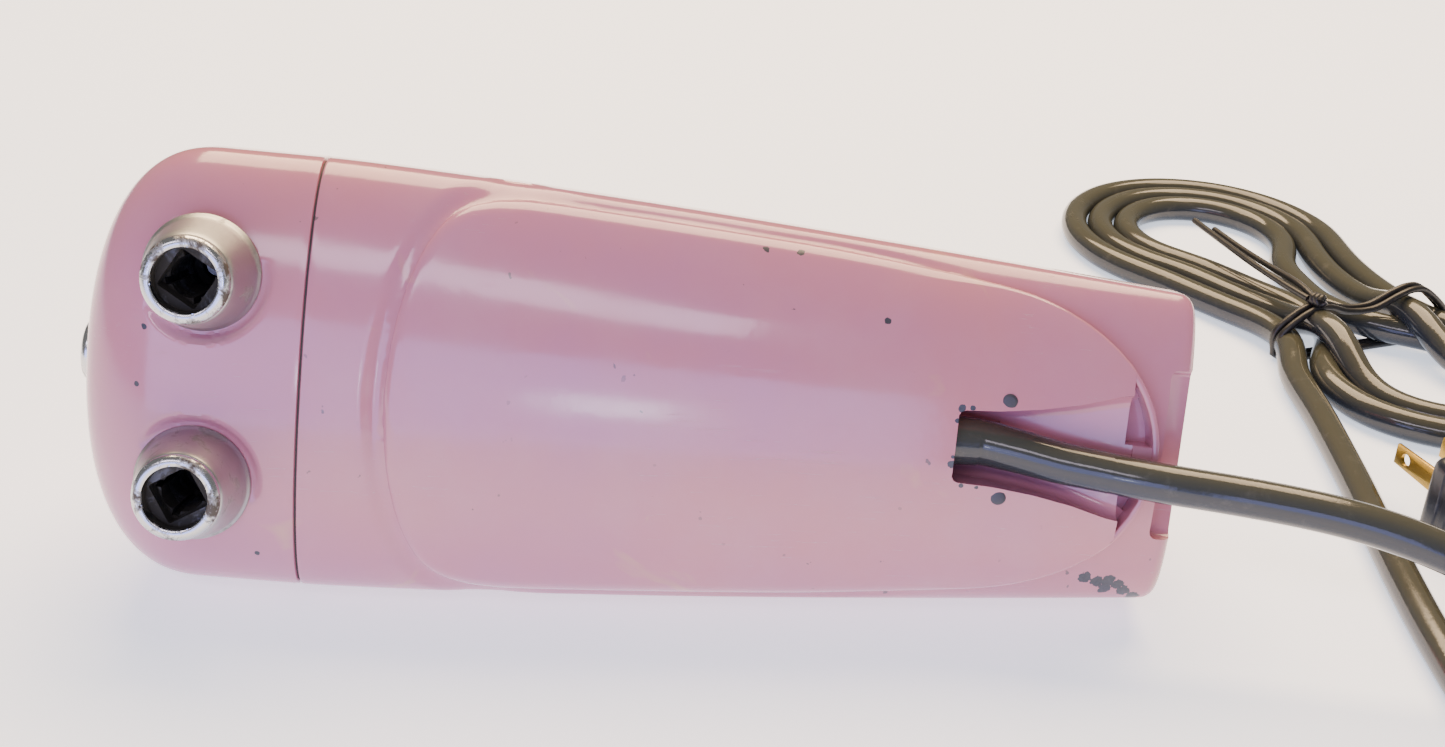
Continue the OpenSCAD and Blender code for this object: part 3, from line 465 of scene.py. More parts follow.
# ---- the lead, its tie and its plug ----
# Millimetres on the surface: out of the slot, down in a loop, three turns of a hank, and on to the plug.
LEAD_LINE = [
    (51.3, -42.4, 41.8), (59.1, -42.4, 41.4), (66.9, -42.4, 41.1), (74.4, -44.2, 40.3), (81.9, -46.3, 39.4),
    (89.4, -48.2, 39), (97, -50, 38.5), (104.8, -50.5, 37.7), (112.5, -51.1, 37), (120.2, -52.1, 36.4),
    (127.9, -53.4, 35.8), (135.5, -54.9, 35), (143, -56.6, 33.8), (150.4, -58.4, 32), (157.6, -60.1, 29.7),
    (164.7, -61.7, 26.7), (171.6, -63, 23.4), (178.4, -64.3, 19.8), (185.2, -65.3, 16.2), (192.2, -66.1, 12.8),
    (199.2, -67.5, 9.7), (206.1, -70.3, 7.3), (212.2, -74.8, 5.6), (217, -80.8, 4.6), (220.1, -87.9, 4.2),
    (221.2, -95.6, 4), (220.3, -103.3, 4), (217.3, -110.5, 4), (212.6, -116.7, 4), (206.4, -121.4, 4),
    (199.2, -124.3, 4), (191.5, -125.2, 4), (183.8, -124, 4), (176.7, -120.9, 4), (170.7, -116, 4),
    (166.2, -109.6, 4), (163.4, -102.4, 4), (162.3, -94.7, 4), (162.2, -86.9, 4), (162.3, -79.1, 4),
    (162.2, -71.3, 4), (162.2, -63.5, 4), (162.3, -55.7, 4), (162.5, -47.9, 4), (162.8, -40.1, 4),
    (163.3, -32.3, 4), (163.8, -24.5, 4), (164.4, -16.8, 4), (165, -9, 4), (165.6, -1.2, 4),
    (166.3, 6.6, 4), (166.9, 14.3, 4), (167.4, 22.1, 4), (167.9, 29.9, 4), (168.3, 37.7, 4),
    (168.7, 45.5, 4), (168.8, 53.3, 4), (168.8, 61.1, 4), (169.1, 68.9, 4), (170.8, 76.5, 5.4),
    (172.3, 84.1, 5.7), (171.3, 91.8, 5.6), (168.1, 98.9, 5.1), (163.7, 105.3, 4.5), (159.1, 111.6, 4.2),
    (154.4, 117.8, 4), (149.6, 123.9, 4), (144.3, 129.7, 4), (139, 135.4, 4), (134.5, 141.8, 4),
    (131.5, 148.9, 4), (129.6, 156.5, 4), (129.4, 164.3, 4), (130.6, 171.9, 4), (133.2, 179.3, 4),
    (137.3, 185.9, 4), (142.5, 191.7, 4), (148.8, 196.2, 4), (155.9, 199.5, 4), (163.5, 201.3, 4),
    (171.3, 201.4, 4), (178.9, 200.2, 4), (186.2, 197.4, 4), (192.7, 193.2, 4), (198.5, 187.9, 4),
    (202.9, 181.5, 4), (206.2, 174.4, 4), (208.1, 166.9, 4), (208.5, 159.1, 4), (208.3, 151.3, 4),
    (208.5, 143.5, 4), (209.2, 135.8, 4.1), (210.3, 128, 4.3), (211.7, 120.4, 4.7), (213.3, 112.7, 5.3),
    (216.2, 105.5, 5.7), (220.9, 99.3, 5.6), (226.7, 94.2, 5.2), (232.1, 88.5, 4), (235.8, 81.7, 4),
    (238, 74.3, 4), (238.3, 66.5, 4), (236.8, 58.9, 4), (233.4, 51.9, 4), (228.3, 46, 4),
    (222.1, 41.4, 4), (214.8, 38.5, 4), (207.1, 37.7, 4), (199.4, 38.8, 4), (192.2, 41.6, 4),
    (185.7, 45.9, 4), (180.7, 51.8, 4), (177.7, 59, 4.2), (176.9, 66.7, 4.6), (178.4, 74.3, 5.1),
    (182, 81.2, 5.4), (185, 88.4, 5.7), (185.7, 96.1, 5.6), (184.1, 103.7, 5.2), (180.8, 110.7, 4.6),
    (176.3, 117.1, 4.2), (171.6, 123.3, 4), (166.9, 129.6, 4), (161.9, 135.5, 4), (156.1, 140.7, 4),
    (150.5, 146.1, 4), (146.7, 152.9, 4), (145.1, 160.5, 4), (145.8, 168.2, 4), (149, 175.3, 4),
    (154.3, 180.9, 4), (161.1, 184.6, 4), (168.8, 185.8, 4), (176.4, 184.5, 4), (183.2, 180.7, 4),
    (188.5, 175, 4), (191.8, 168, 4), (192.8, 160.3, 4), (191.5, 152.7, 4), (188.7, 145.4, 4),
    (187, 137.8, 4), (187.5, 130.1, 4), (188.3, 122.3, 4.2), (189, 114.6, 4.6), (191.7, 107.3, 5.1),
    (196.3, 101, 5.6), (202.6, 96.5, 5.7), (210, 93.9, 5.5), (217.2, 91.2, 5.2), (223.4, 86.5, 4.7),
    (227.9, 80.2, 4.3), (230.3, 72.8, 4.1), (230.2, 65, 4), (227.7, 57.7, 4), (223, 51.6, 4),
    (216.5, 47.4, 4), (208.9, 45.6, 4), (201.2, 46.4, 4), (194.2, 49.7, 4), (188.7, 55.2, 4.1),
    (185.1, 62, 5.3), (183.4, 69, 8.6), (182.1, 76.1, 11.8), (180.2, 83.6, 12.2), (178.9, 90.8, 9.6),
    (177.4, 97.9, 6.4), (174.8, 105.1, 4.8), (170.5, 111.6, 4.3), (165.6, 117.6, 4.1), (161.2, 124.1, 4),
    (156.3, 130.1, 4), (150.4, 135.2, 4), (144.9, 140.7, 4), (140.6, 147.2, 4), (138.1, 154.5, 4),
    (137.2, 162.3, 4), (138.2, 170, 4), (141, 177.2, 4), (145.6, 183.5, 4), (151.5, 188.6, 4),
    (158.5, 192, 4), (166.1, 193.6, 4), (173.8, 193.2, 4), (181.3, 191, 4), (187.9, 187, 4),
    (193.5, 181.5, 4), (197.5, 174.9, 4), (200, 167.5, 4), (200.6, 159.8, 4), (199.9, 152, 4),
    (199.7, 144.2, 4), (200.1, 136.4, 4), (201.1, 128.7, 4.2), (202.5, 121, 4.6), (204.2, 113.5, 5.9),
    (206.1, 106.2, 8.7), (207.8, 99, 11.3), (209.5, 91.5, 11.3), (211.5, 84.2, 8.8), (214.2, 77.2, 6.4),
    (217.3, 70, 6), (220.4, 63.1, 7.5), (224.1, 56.9, 10.4), (228.5, 50.5, 11.2), (232.8, 44.2, 10),
    (236.3, 38, 6.8), (239.2, 31.1, 4.5), (241.9, 23.9, 4), (244.5, 16.5, 4), (247, 9.1, 4),
    (249.5, 1.7, 4), (251.8, -5.7, 4), (254, -13.2, 4), (256.1, -20.7, 4), (257.1, -28.4, 4),
    (256.2, -36.2, 4), (253.4, -43.4, 4), (248.8, -49.7, 4), (242.8, -54.6, 4), (235.7, -57.8, 4),
    (228, -58.9, 4), (220.3, -57.7, 4), (213.3, -54.4, 4), (207.3, -49.4, 4.4), (203.4, -42.8, 5.9),
    (200.5, -35.9, 8.1), (197, -25, 10), (196, -21.7, 10), (194.6, -17.4, 10),
]
ON_FLOOR = Matrix.Scale(0.001, 4)
PLUG_PLACE = ON_FLOOR @ Matrix.Translation((197, -25, 10)) @ Matrix.Rotation(atan2(29, -9), 4, "Z")
HANK_FAR, HANK_NEAR, TIE_AT = Vector((164, 175, 0)), Vector((206, 66, 0)), 86


def cord_rubber():
    """Grey rubber sheath with a painted highlight: lighter and olive on the side that faces up, dusty, with a low
    gloss.
    """
    f = Finish("grey_cord_rubber", roughness=0.3)
    aged = f.ramp(f.noise(24, 4, 0.6), (0.35, 0), (0.7, 1))
    colour = f.blend(aged, (0.022, 0.028, 0.042), (0.034, 0.038, 0.037))
    # painted highlight: the side that faces up is lightened towards olive, standing in for light from above
    upward = f.node("SeparateXYZ", {"Vector": f.node("NewGeometry").outputs["Normal"]}).outputs["Z"]
    colour = f.blend(f.ramp(upward, (0.2, 0), (0.85, 0.8)), colour, (0.07, 0.07, 0.045))
    dusty = f.ramp(f.noise(260, 5, 0.7, 0.3), (0.56, 0), (0.76, 0.3))
    f.set("Base Color", f.blend(dusty, colour, (0.12, 0.115, 0.1)))
    f.set("Roughness", f.maths("ADD", f.maths("MULTIPLY", f.noise(90, 4, 0.6), 0.2), f.maths("MULTIPLY", dusty, 0.5)))
    f.bump(f.maths("ADD", f.noise(1100, 3, 0.6), f.maths("MULTIPLY", f.noise(140, 2), 1.4)), 0.15, 0.00012)
    return f.material


def lead_cord():
    rest()
    curve = bpy.data.curves.new("lead_cord", "CURVE")
    curve.dimensions = "3D"
    spline = curve.splines.new("NURBS")
    spline.points.add(len(LEAD_LINE) - 1)
    for point, place in zip(spline.points, LEAD_LINE):
        point.co = (*(0.001 * c for c in place), 1)
    spline.order_u, spline.resolution_u, spline.use_endpoint_u = 4, 4, True
    curve.bevel_depth, curve.bevel_resolution, curve.use_fill_caps = LEAD_R * 0.001, 6, True
    curve.materials.append(cord_rubber())
    cord = bpy.data.objects.new("lead_cord", curve)
    bpy.context.scene.collection.objects.link(cord)
    return cord


def plug_moulding():
    """Rounded plug with finger hollows, and a ringed strain relief that tapers on to the lead."""
    body = block("plug_moulding", (9.5, -12.5, -10), (30, 12.5, 10), 3.2, 5)
    for side in (-1, 1):
        for i in range(4):
            x, y = 13.5 + 3.4 * i, side * 13.1
            cut(body, rod("finger_groove", (x, y, -12), (x, y, 12), 1.15, 16))
    weld(body, rod("face_step", (8.4, 0, 0), (12, 0, 0), 8.2, 40))
    back = PLUG_PLACE.inverted() @ ON_FLOOR
    tail = [back @ Vector(p) for p in LEAD_LINE[-8:-2]]
    run = np.array([tuple(p) for p in tail] + [(3.5, 0, 0), (8, 0, 0), (11, 0, 0)])
    long = np.linalg.norm(np.diff(run, axis=0), axis=1).sum()
    line = evenly(run, 91, long - 36, long)
    for _ in range(6):
        line[1:-1] = (line[:-2] + 2 * line[1:-1] + line[2:]) / 4
    share = np.linspace(0, 1, 91)
    ring = np.where(np.cos(2 * pi * share * 9) > 0.1, 0.0, -0.35) * (share > 0.06) * (share < 0.93)
    weld(body, swept("strain_relief", line, 4.15 + 2.5 * share + ring, 28))
    for side in (-1, 1):
        cut(body, block("blade_slot", (19, side * 6.35 - 0.8, -3.25), (33, side * 6.35 + 0.8, 3.25)))
    return smooth(body, 35)


def plug_pins():
    """Two folded brass blades, their tips chamfered and drilled."""
    blades = []
    for side in (-1, 1):
        blade = block("plug_pins", (20, -0.75, -3.15), (46.8, 0.75, 3.15), 0.3, 2)
        co = points(blade)
        tip = smoothstep(co[:, 0], 44.2, 46.8)
        co[:, 1] *= 1 - 0.45 * tip
        co[:, 2] *= 1 - 0.2 * tip
        set_points(blade, co)
        cut(blade, rod("hole", (43, -3, 0), (43, 3, 0), 1.5, 24))
        fold = block("fold_line", (22, side * 0.72, -0.12), (41, side * 0.95, 0.12))
        cut(blade, fold)
        blade.data.transform(Matrix.Translation((0, side * 6.35, 0)))
        blades.append(blade)
    return smooth(joined(*blades), 30)


def twist_tie():
    """Covered wire wound twice round the hank, twisted on top, its tails laid back along the strands."""
    outline = [(-28.3, 7.5), (-27.6, 3.6), (-24.5, 0.9), (0, 0.9), (24.5, 0.9), (28.0, 3.2), (28.9, 6.8),
               (26.5, 10.3), (19.5, 15.6), (14.5, 16.8), (9.5, 15.8), (2, 12.6), (-6, 12.4), (-12.5, 14.4),
               (-17, 15.1), (-21.5, 13.6), (-26.4, 10.2)]
    ahead = (HANK_NEAR - HANK_FAR).normalized()
    across = Vector((-ahead.y, ahead.x, 0))

    def along(s, q, z):
        return tuple(HANK_FAR + ahead * s + across * q + Vector((0, 0, z)))

    wires = []
    for shift in (-1.3, 1.3):
        loop = outline[14:] + outline[:15]
        spots = [along(TIE_AT + shift + 0.5 * sin(q / 5), q, z) for q, z in loop]
        wires.append(swept("twist_tie", curved(spots, 120), 0.95, 10))
    for phase in (0, pi):
        knot = [along(TIE_AT - 2 + 0.55 * i, -17.2 + 1.1 * cos(1.15 * i + phase),
                      16.4 + 0.12 * i + 1.1 * sin(1.15 * i + phase)) for i in range(9)]
        wires.append(swept("twist", curved(knot, 60), 0.9, 10))
    tails = [[(84, -17, 16.8), (76, -15.5, 17.0), (62, -13.5, 15.6), (46, -11.5, 14.4), (30, -9.5, 13.8)],
             [(84, -18.4, 16.4), (75, -18.4, 16.2), (60, -17.2, 15.6), (44, -14.4, 14.6), (22, -10.8, 13.6)]]
    for tail in tails:
        wires.append(swept("tail", curved([along(*spot) for spot in tail], 60), 0.9, 10))
    return smooth(joined(*wires), 60)


cord = lead_cord()
dark_moulding = moulded("navy_black_moulding", (0.014, 0.018, 0.028), 0.34, (0.07, 0.08, 0.1))
brass = cast("blade_brass", (0.56, 0.36, 0.07), 0.3, 1.0, 1500)
tie_plastic = moulded("tie_black", (0.012, 0.012, 0.012), 0.4, (0.06, 0.06, 0.05))
plug = settle(plug_moulding(), "housing", "black_moulding", dark_moulding, "plug_body", place=PLUG_PLACE)
pins = settle(plug_pins(), "housing", "blade_brass", brass, "plug_blades", place=PLUG_PLACE)
tie = settle(twist_tie(), "housing", "tie_black", tie_plastic, "lead_tie", place=ON_FLOOR)
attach(cord, "housing")
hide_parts("lead", "lead_hank", "plug_lead")

# ---- floor and light ----
def floor_finish():
    finish = bpy.data.materials.new("pale_floor")
    finish.use_nodes = True
    shader = finish.node_tree.nodes["Principled BSDF"]
    shader.inputs["Base Color"].default_value = (0.95, 0.95, 0.95, 1)
    shader.inputs["Emission Color"].default_value = (0.8, 0.87, 1, 1)
    shader.inputs["Emission Strength"].default_value = 1.15
    shader.inputs["Roughness"].default_value = 0.75
    return finish


rest()
bpy.ops.mesh.primitive_plane_add(size=8)
floor = started("floor")
floor.data.materials.append(floor_finish())

world = bpy.data.worlds.new("studio")
bpy.context.scene.world = world
world.use_nodes = True
world.node_tree.nodes["Background"].inputs["Color"].default_value = (1, 1, 1, 1)
world.node_tree.nodes["Background"].inputs["Strength"].default_value = 0.24


def lamp(name, place, target, size, power, colour):
    """A rectangular soft light at a place, facing a target."""
    data = bpy.data.lights.new(name, "AREA")
    data.shape = "RECTANGLE"
    data.size, data.size_y = size
    data.energy, data.color = power, colour
    light = bpy.data.objects.new(name, data)
    bpy.context.scene.collection.objects.link(light)
    turn = (Vector(target) - Vector(place)).to_track_quat("-Z", "Y").to_matrix().to_4x4()
    light.matrix_world = Matrix.Translation(place) @ turn


lamp("key", (-0.25, -0.75, 0.72), (0, -0.03, 0.03), (0.9, 0.16), 3.4, (0.94, 0.84, 1.0))
lamp("overhead", (0.1, 0.6, 1.0), (0, 0, 0), (1.2, 0.8), 40.0, (1.0, 0.72, 0.44))
lamp("cool_fill", (-0.3, -1.2, 0.25), (0, -0.05, 0.04), (1.4, 0.5), 9.5, (0.42, 0.46, 1.0))
lamp("low_window", (0.02, -1.1, 0.2), (0, -0.05, 0.04), (0.1, 0.08), 0.3, (0.85, 0.93, 1.0))

# ---- the body's outline, station by station ----
def power_round(t, n):
    return (1 - (1 - np.clip(t, 0, 1)) ** n) ** (1 / n)


def signed_pow(value, n):
    return np.sign(value) * np.abs(value) ** n


def half_width(x):
    return 42.3 - 11.3 * np.clip((x - SEAM_X) / (BODY_LEN - SEAM_X), 0, None) ** 1.35


def fall(x):
    return np.clip((x - 60) / (BODY_LEN - 60), 0, None) ** 2


def body_points(x, angle, grow=0.0, squeeze=1.0):
    """Points of the casting's surface, moved out by grow; squeeze draws a ring in towards the axis."""
    wide = power_round((x + grow) / (24 + grow), 2.4)
    high = power_round((x + grow) / (30 + grow), 2.4)
    upper = np.sin(angle) >= -1e-9
    power = np.where(upper, 2 / 2.4, 2 / 2.1)
    y = (half_width(x) + grow) * wide * signed_pow(np.cos(angle), power) * squeeze
    height = np.where(upper, 46 - 7 * fall(x), 16.7 - 7.7 * fall(x)) + grow
    return y, height * high * signed_pow(np.sin(angle), power) * squeeze


def body_under(x, y):
    """Height of the underside behind the nose."""
    inside = np.clip(1 - (np.abs(y) / half_width(x)) ** 2.1, 0, 1)
    return -(16.7 - 7.7 * fall(x)) * inside ** (1 / 2.1)


def belly_under(x, y):
    """Height of the belly panel's face."""
    inside = np.clip(1 - (np.abs(y) / (half_width(x) - 0.6)) ** 2.105, 0, 1)
    return np.minimum(-(18.2 - 3 * fall(x)) * inside ** (1 / 2.105), body_under(x, y) - 1.3)


def belly_edge(count=360):
    """The belly panel's outline in plan, closed and evenly spaced."""
    front = [(59 + 14 * (1 - cos(a)), 36.5 * sin(a)) for a in np.radians(np.arange(0, 90, 7.5))]
    flank = [(x, float(half_width(x)) - 2.5) for x in np.arange(76, 152, 6.0)]
    arch = [(ARCH_X + ARCH_LEN * cos(a), ARCH_HALF_W * sin(a)) for a in np.radians(np.arange(84, -1, -6))]
    upper = np.array(front + flank + arch)
    loop = np.vstack([upper, (upper * (1, -1))[-2::-1]])
    for _ in range(2):
        loop[1:-1] = 0.25 * loop[:-2] + 0.5 * loop[1:-1] + 0.25 * loop[2:]
    run = np.r_[0, np.cumsum(np.linalg.norm(np.diff(loop, axis=0), axis=1))]
    even = np.linspace(0, run[-1], count + 1)
    return np.stack([np.interp(even, run, loop[:, 0]), np.interp(even, run, loop[:, 1])], 1)


BELLY = belly_edge()


def inwards(loop):
    """Unit directions pointing into a closed outline that runs clockwise or not."""
    ahead = np.roll(loop[:-1], -1, 0) - np.roll(loop[:-1], 1, 0)
    side = np.stack([-ahead[:, 1], ahead[:, 0]], 1) / np.linalg.norm(ahead, axis=1)[:, None]
    if ((loop[:-1] - (130, 0)) * side).sum() > 0:
        side = -side
    return np.vstack([side, side[:1]])


BELLY_IN = inwards(BELLY)


def from_belly_edge(x, y):
    """Distance in plan from the belly's outline, positive outside it."""
    away = np.full(len(x), 99.0)
    sign = np.ones(len(x))
    for start in range(0, len(x), 4000):
        part = slice(start, start + 4000)
        gap = np.stack([x[part], y[part]], 1)[:, None, :] - BELLY[None, :-1, :]
        dist = np.hypot(gap[..., 0], gap[..., 1])
        nearest = dist.argmin(1)
        away[part] = dist.min(1)
        chosen = gap[np.arange(len(nearest)), nearest]
        sign[part] = np.where((chosen * BELLY_IN[nearest]).sum(1) > 0, -1, 1)
    return away * sign


def spread_angles(upper, lower):
    """Angles round a section, with so many steps over the top and under the belly."""
    return np.r_[np.linspace(0, pi, upper, endpoint=False), np.linspace(pi, 2 * pi, lower), 0.0]


# ---- castings ----
def gear_case_casting():
    """The nose, a closed shell whose underside dips round each socket cone."""
    theta = np.radians(np.r_[np.arange(0, 50, 2.5), np.arange(50, 90, 1.0)])
    outer_x = np.r_[24 * (1 - np.cos(theta) ** (1 / 1.2)), np.arange(24, 42.3, 0.5)]
    x = np.r_[outer_x, 42.85, 43, 43, 40, 36, 31, 27, 23, 19, 15, 11, 8, 5, 3, 2.4]
    grow = np.r_[0 * outer_x, -0.12, -0.4, -WALL + 0 * np.arange(13)]
    angle = spread_angles(120, 250)

    def place(row, column):
        y, z = body_points(x[row], angle[column], grow[row])
        from_spindle = np.hypot(x[row] - SPINDLE_X, np.abs(y) - SPINDLE_Y)
        outside = grow[row] > -1
        low = z < -5
        dish = -14.2
        dipped = np.where(z < dish, z + (dish - z) * smoothstep(from_spindle, 13.4, 11.5), z)
        raised = z + 2.7 * smoothstep(from_spindle, 15.5, 12.8)
        z = np.where(low & outside, dipped, np.where(low, raised, z))
        return np.stack([x[row], y, z], 1)

    case = skin("gear_case_casting", len(x) - 1, len(angle) - 1, place)
    for side in (-1, 1):
        cut(case, rod("spindle_hole", (SPINDLE_X, side * SPINDLE_Y, -30), (SPINDLE_X, side * SPINDLE_Y, 1), 7.45, 64))
    weld(case, seat_pad(FRONT_POST_X))
    return cut(case, rod("ejector_hole", (EJECTOR_X, 0, 30), (EJECTOR_X, 0, 60), 2.6))


def seat_pad(x):
    """The raised pad that a handle post stands on."""
    rise = np.array([(-11, 40), (1.2, 40), (1.9, 45.4), (1.4, 46.3), (1.2, 46.7), (0.8, 46.97),
                     (0.3, SEAT_Z), (-11, SEAT_Z)])
    around = np.r_[np.linspace(0, 2 * pi, 72, endpoint=False), 0.0]

    def place(row, column):
        spread = np.where(rise[row, 0] < -5, 0.02, 1.0)
        wide = (GRIP_HALF_H + np.maximum(rise[row, 0], 0)) * signed_pow(np.cos(around[column]), 0.8)
        deep = (GRIP_HALF_W + np.maximum(rise[row, 0], 0)) * signed_pow(np.sin(around[column]), 0.8)
        return np.stack([x + wide * spread, deep * spread, rise[row, 1]], 1)

    return skin("seat_pad", len(rise) - 1, 72, place)


def housing_shell():
    """The motor housing's shell with the groove that sets off the belly, its heel rounded over."""
    turn = np.radians([15, 35, 55, 75, 90])
    outer_x = np.r_[43.4, 43.55, 43.9, np.arange(45, 96, 0.9), np.arange(96, 168, 2.2), np.arange(168, 210.6, 1.1), 211]
    outer_grow = np.r_[-0.4, -0.12, 0 * outer_x[2:]]
    x = np.r_[outer_x, 211 + 3 * np.sin(turn), [BODY_LEN] * 5, [BODY_LEN - WALL] * 3,
              208, 195, 180, 160, 140, 120, 100, 80, 60, 50, HOUSING_X, HOUSING_X]
    grow = np.r_[outer_grow, -3 * (1 - np.cos(turn)), [-3] * 5, [-WALL] * 14, -0.4]
    squeeze = np.r_[1 + 0 * outer_x, 1 + 0 * turn, 0.82, 0.6, 0.35, 0.12, 0.0, 0.0, 0.6, 1.0, [1] * 12]
    angle = spread_angles(90, 170)

    def place(row, column):
        y, z = body_points(x[row], angle[column], grow[row], squeeze[row])
        away = np.full(len(y), 99.0)
        grooved = (z < 0) & (grow[row] > -0.2) & (x[row] > 50) & (x[row] < 172)
        away[grooved] = from_belly_edge(x[row][grooved], y[grooved])
        flank = smoothstep(x[row], 70, 96)
        reach = 2.9 - 1.7 * flank
        depth = (1.15 - 0.65 * flank) * (1 - smoothstep(x[row], 150, 172))
        dip = depth * 0.5 * (1 + np.cos(pi * np.clip((away - 0.62 * reach) / reach, -1, 1)))
        size = 1 - dip / np.maximum(np.hypot(y, z), 1)
        return np.stack([x[row], y * size, z * size], 1)

    return skin("motor_housing_casting", len(x) - 1, len(angle) - 1, place)


def belly_panel():
    """The belly panel, its face rounded into the groove in front and crisp round the arch."""
    lean = np.radians([0, 18, 36, 54, 72, 90])
    face = [0.12, 0.25, 0.4, 0.55, 0.7, 0.85, 1.0]
    rows = [(1, 1.0), (1, 0.5), (1, 0.0)] + [(2, a) for a in lean] + [(3, k) for k in face]
    kind = np.array([r[0] for r in rows])
    value = np.array([r[1] for r in rows], float)
    spine = np.stack([np.clip(BELLY[:, 0], 88, 182), 0 * BELLY[:, 1]], 1)

    def place(row, column):
        edge, normal = BELLY[column], BELLY_IN[column]
        crisp = smoothstep(edge[:, 0], 150, 178)
        inset = (2.4 - 1.9 * crisp) * (1 - np.cos(np.where(kind[row] == 2, value[row], 0)))
        inset = np.where(kind[row] == 3, 2.4 - 1.9 * crisp, inset)
        plan = edge + normal * inset[:, None]
        towards = np.where(kind[row] == 2, 0, value[row])[:, None]
        plan = plan + (spine[column] - plan) * towards
        drop = (1.25 - 0.75 * crisp) * (1 - np.sin(np.where(kind[row] == 2, value[row], pi / 2)))
        low = belly_under(plan[:, 0], plan[:, 1]) + drop
        z = np.where(kind[row] == 1, body_under(plan[:, 0], plan[:, 1]) + 1.1, low)
        return np.column_stack([plan, z])

    panel = skin("belly_panel", len(rows) - 1, len(BELLY) - 1, place)
    return cut(panel, block("cut_off", (BELLY_CUT_X, -50, -40), (230, 50, 10)))


def arch_lip():
    """The thin rim that carries the arch's outline on behind the belly's cut edge."""
    chosen = [i for i in range(len(BELLY)) if BELLY[i, 0] > BELLY_CUT_X - 0.5]
    order = sorted(chosen, key=lambda i: BELLY[i, 1])
    profile = np.array([(0.0, 9), (0.0, 0.5), (0.12, 0.15), (0.4, 0), (1.0, 0), (1.28, 0.15), (1.4, 0.5), (1.4, 9),
                        (0.0, 9)])

    def place(row, column):
        edge = BELLY[np.array(order)[column]] + BELLY_IN[np.array(order)[column]] * profile[row, :1]
        floor_z = body_under(edge[:, 0], edge[:, 1]) + 1.0
        return np.column_stack([edge, np.where(profile[row, 1] > 5, floor_z, profile[row, 1] - 13.5)])

    return skin("arch_lip", len(profile) - 1, len(order) - 1, place)


def heel_window_tool():
    """What is cut away behind the belly's edge, but for two slanting ribs and the bridge between them."""
    edge = BELLY + 1.4 * BELLY_IN
    keep = [tuple(p) for p in edge[:-1] if p[0] > BELLY_CUT_X]
    keep.sort(key=lambda p: atan2(p[1], p[0] - 190))
    y_end = abs(keep[0][1]) + 0.15
    tool = plate("heel_window_tool", [(BELLY_CUT_X, -y_end)] + keep + [(BELLY_CUT_X, y_end)], -40, -8.2)
    cut(tool, block("bridge", (190, -2.4, -50), (220, 2.4, 5)))
    for side in (-1, 1):
        rib = block("rib", (-8, -1, -50), (8, 1, 5), 0.0)
        slant = Matrix.Rotation(side * radians(35), 4, "Z")
        rib.data.transform(Matrix.Translation((BELLY_CUT_X + 3, side * 13, 0)) @ slant)
        cut(tool, rib)
    return tool


def trough(name, grow, x_start, x_end, inner=False):
    """The scoop that lets the lead out; inner stops it on the skin's inside, for the wall round it."""
    at = [SLOT_X, 175, 183, 191, 198, 202]
    wide = [7, 7.4, 8.4, 10, 12, 12.8]
    deep = [-5, -6.4, -8.4, -10.4, -12, -12.6]
    x = np.r_[x_start, x_start + 0.4, np.linspace(x_start + 1.2, x_end, 34)]
    tuck = np.r_[1.0, 0.3, np.zeros(34)] * (not inner)
    w = np.interp(x, at, wide) + grow - tuck
    top = np.interp(x, at, deep) + grow
    corner = 3.0 + grow
    turn = np.radians(np.arange(0, 91, 15))

    def place(row, column):
        y = np.r_[1.0, 1.0, np.ones(7), -np.ones(7), -1.0, -1.0, 1.0]
        lift = np.r_[0.0, 0.0, np.cos(turn), np.cos(turn[::-1]), 0.0, 0.0, 0.0]
        rise = np.r_[-1, -1, np.sin(turn), np.sin(turn[::-1]), -1, -1, -1]
        in_corner = np.r_[0, 0, np.ones(14), 0, 0, 0][column] > 0
        across = np.where(in_corner, w[row] - corner * (1 - lift[column]), w[row]) * y[column]
        low = body_under(x[row], np.clip(across, -14, 14)) + 0.9 if inner else np.full(len(row), -40.0)
        high = top[row] - corner * (1 - rise[column])
        return np.stack([x[row], across, np.where(in_corner, high, low)], 1)

    return skin(name, len(x) - 1, 18, place)


def inner_block(name, low, high):
    """A solid inside the shell that comes down on the skin's inside."""
    solid = block(name, low, high)
    apply(solid, "SUBSURF", levels=4, render_levels=4, subdivision_type="SIMPLE")
    co = points(solid)
    co[:, 2] = np.maximum(co[:, 2], body_under(co[:, 0], co[:, 1]) + 0.9)
    set_points(solid, co)
    return solid


def motor_housing_casting():
    shell = housing_shell()
    weld(shell, trough("trough_walls", WALL, SLOT_X - WALL, 194, inner=True),
         inner_block("notch_backing", (BODY_LEN - NOTCH_DEPTH - WALL, -NOTCH_HALF_W - WALL, -14),
                     (211.9, NOTCH_HALF_W + WALL, NOTCH_Z + WALL)),
         belly_panel(), arch_lip(), block("bridge", (199, -2.4, -13.1), (206.9, 2.4, -8.6), 0.5), seat_pad(REAR_POST_X))
    cut(shell, heel_window_tool(), trough("trough", 0, SLOT_X, 202),
        rod("lead_hole", (SLOT_X - 20, 0, LEAD_Z), (SLOT_X + 10, 0, LEAD_Z), 5.3),
        block("notch", (BODY_LEN - NOTCH_DEPTH, -NOTCH_HALF_W, -30), (BODY_LEN + 20, NOTCH_HALF_W, NOTCH_Z), 1.6))
    for row in range(6):
        cut(shell, block("louvre", (BODY_LEN - 8, -16, 6 + 5 * row), (BODY_LEN + 8, 16, 8.4 + 5 * row), 1.0))
    for side in (-1, 1):
        bolt = (side * THROUGH_BOLT_Y, THROUGH_BOLT_Z)
        cut(shell, rod("bolt_recess", (BODY_LEN - 4, *bolt), (BODY_LEN + 8, *bolt), 3.7))
    return cut(shell, rod("wire_hole", (REAR_POST_X, 0, 25), (REAR_POST_X, 0, 65), 4.5))


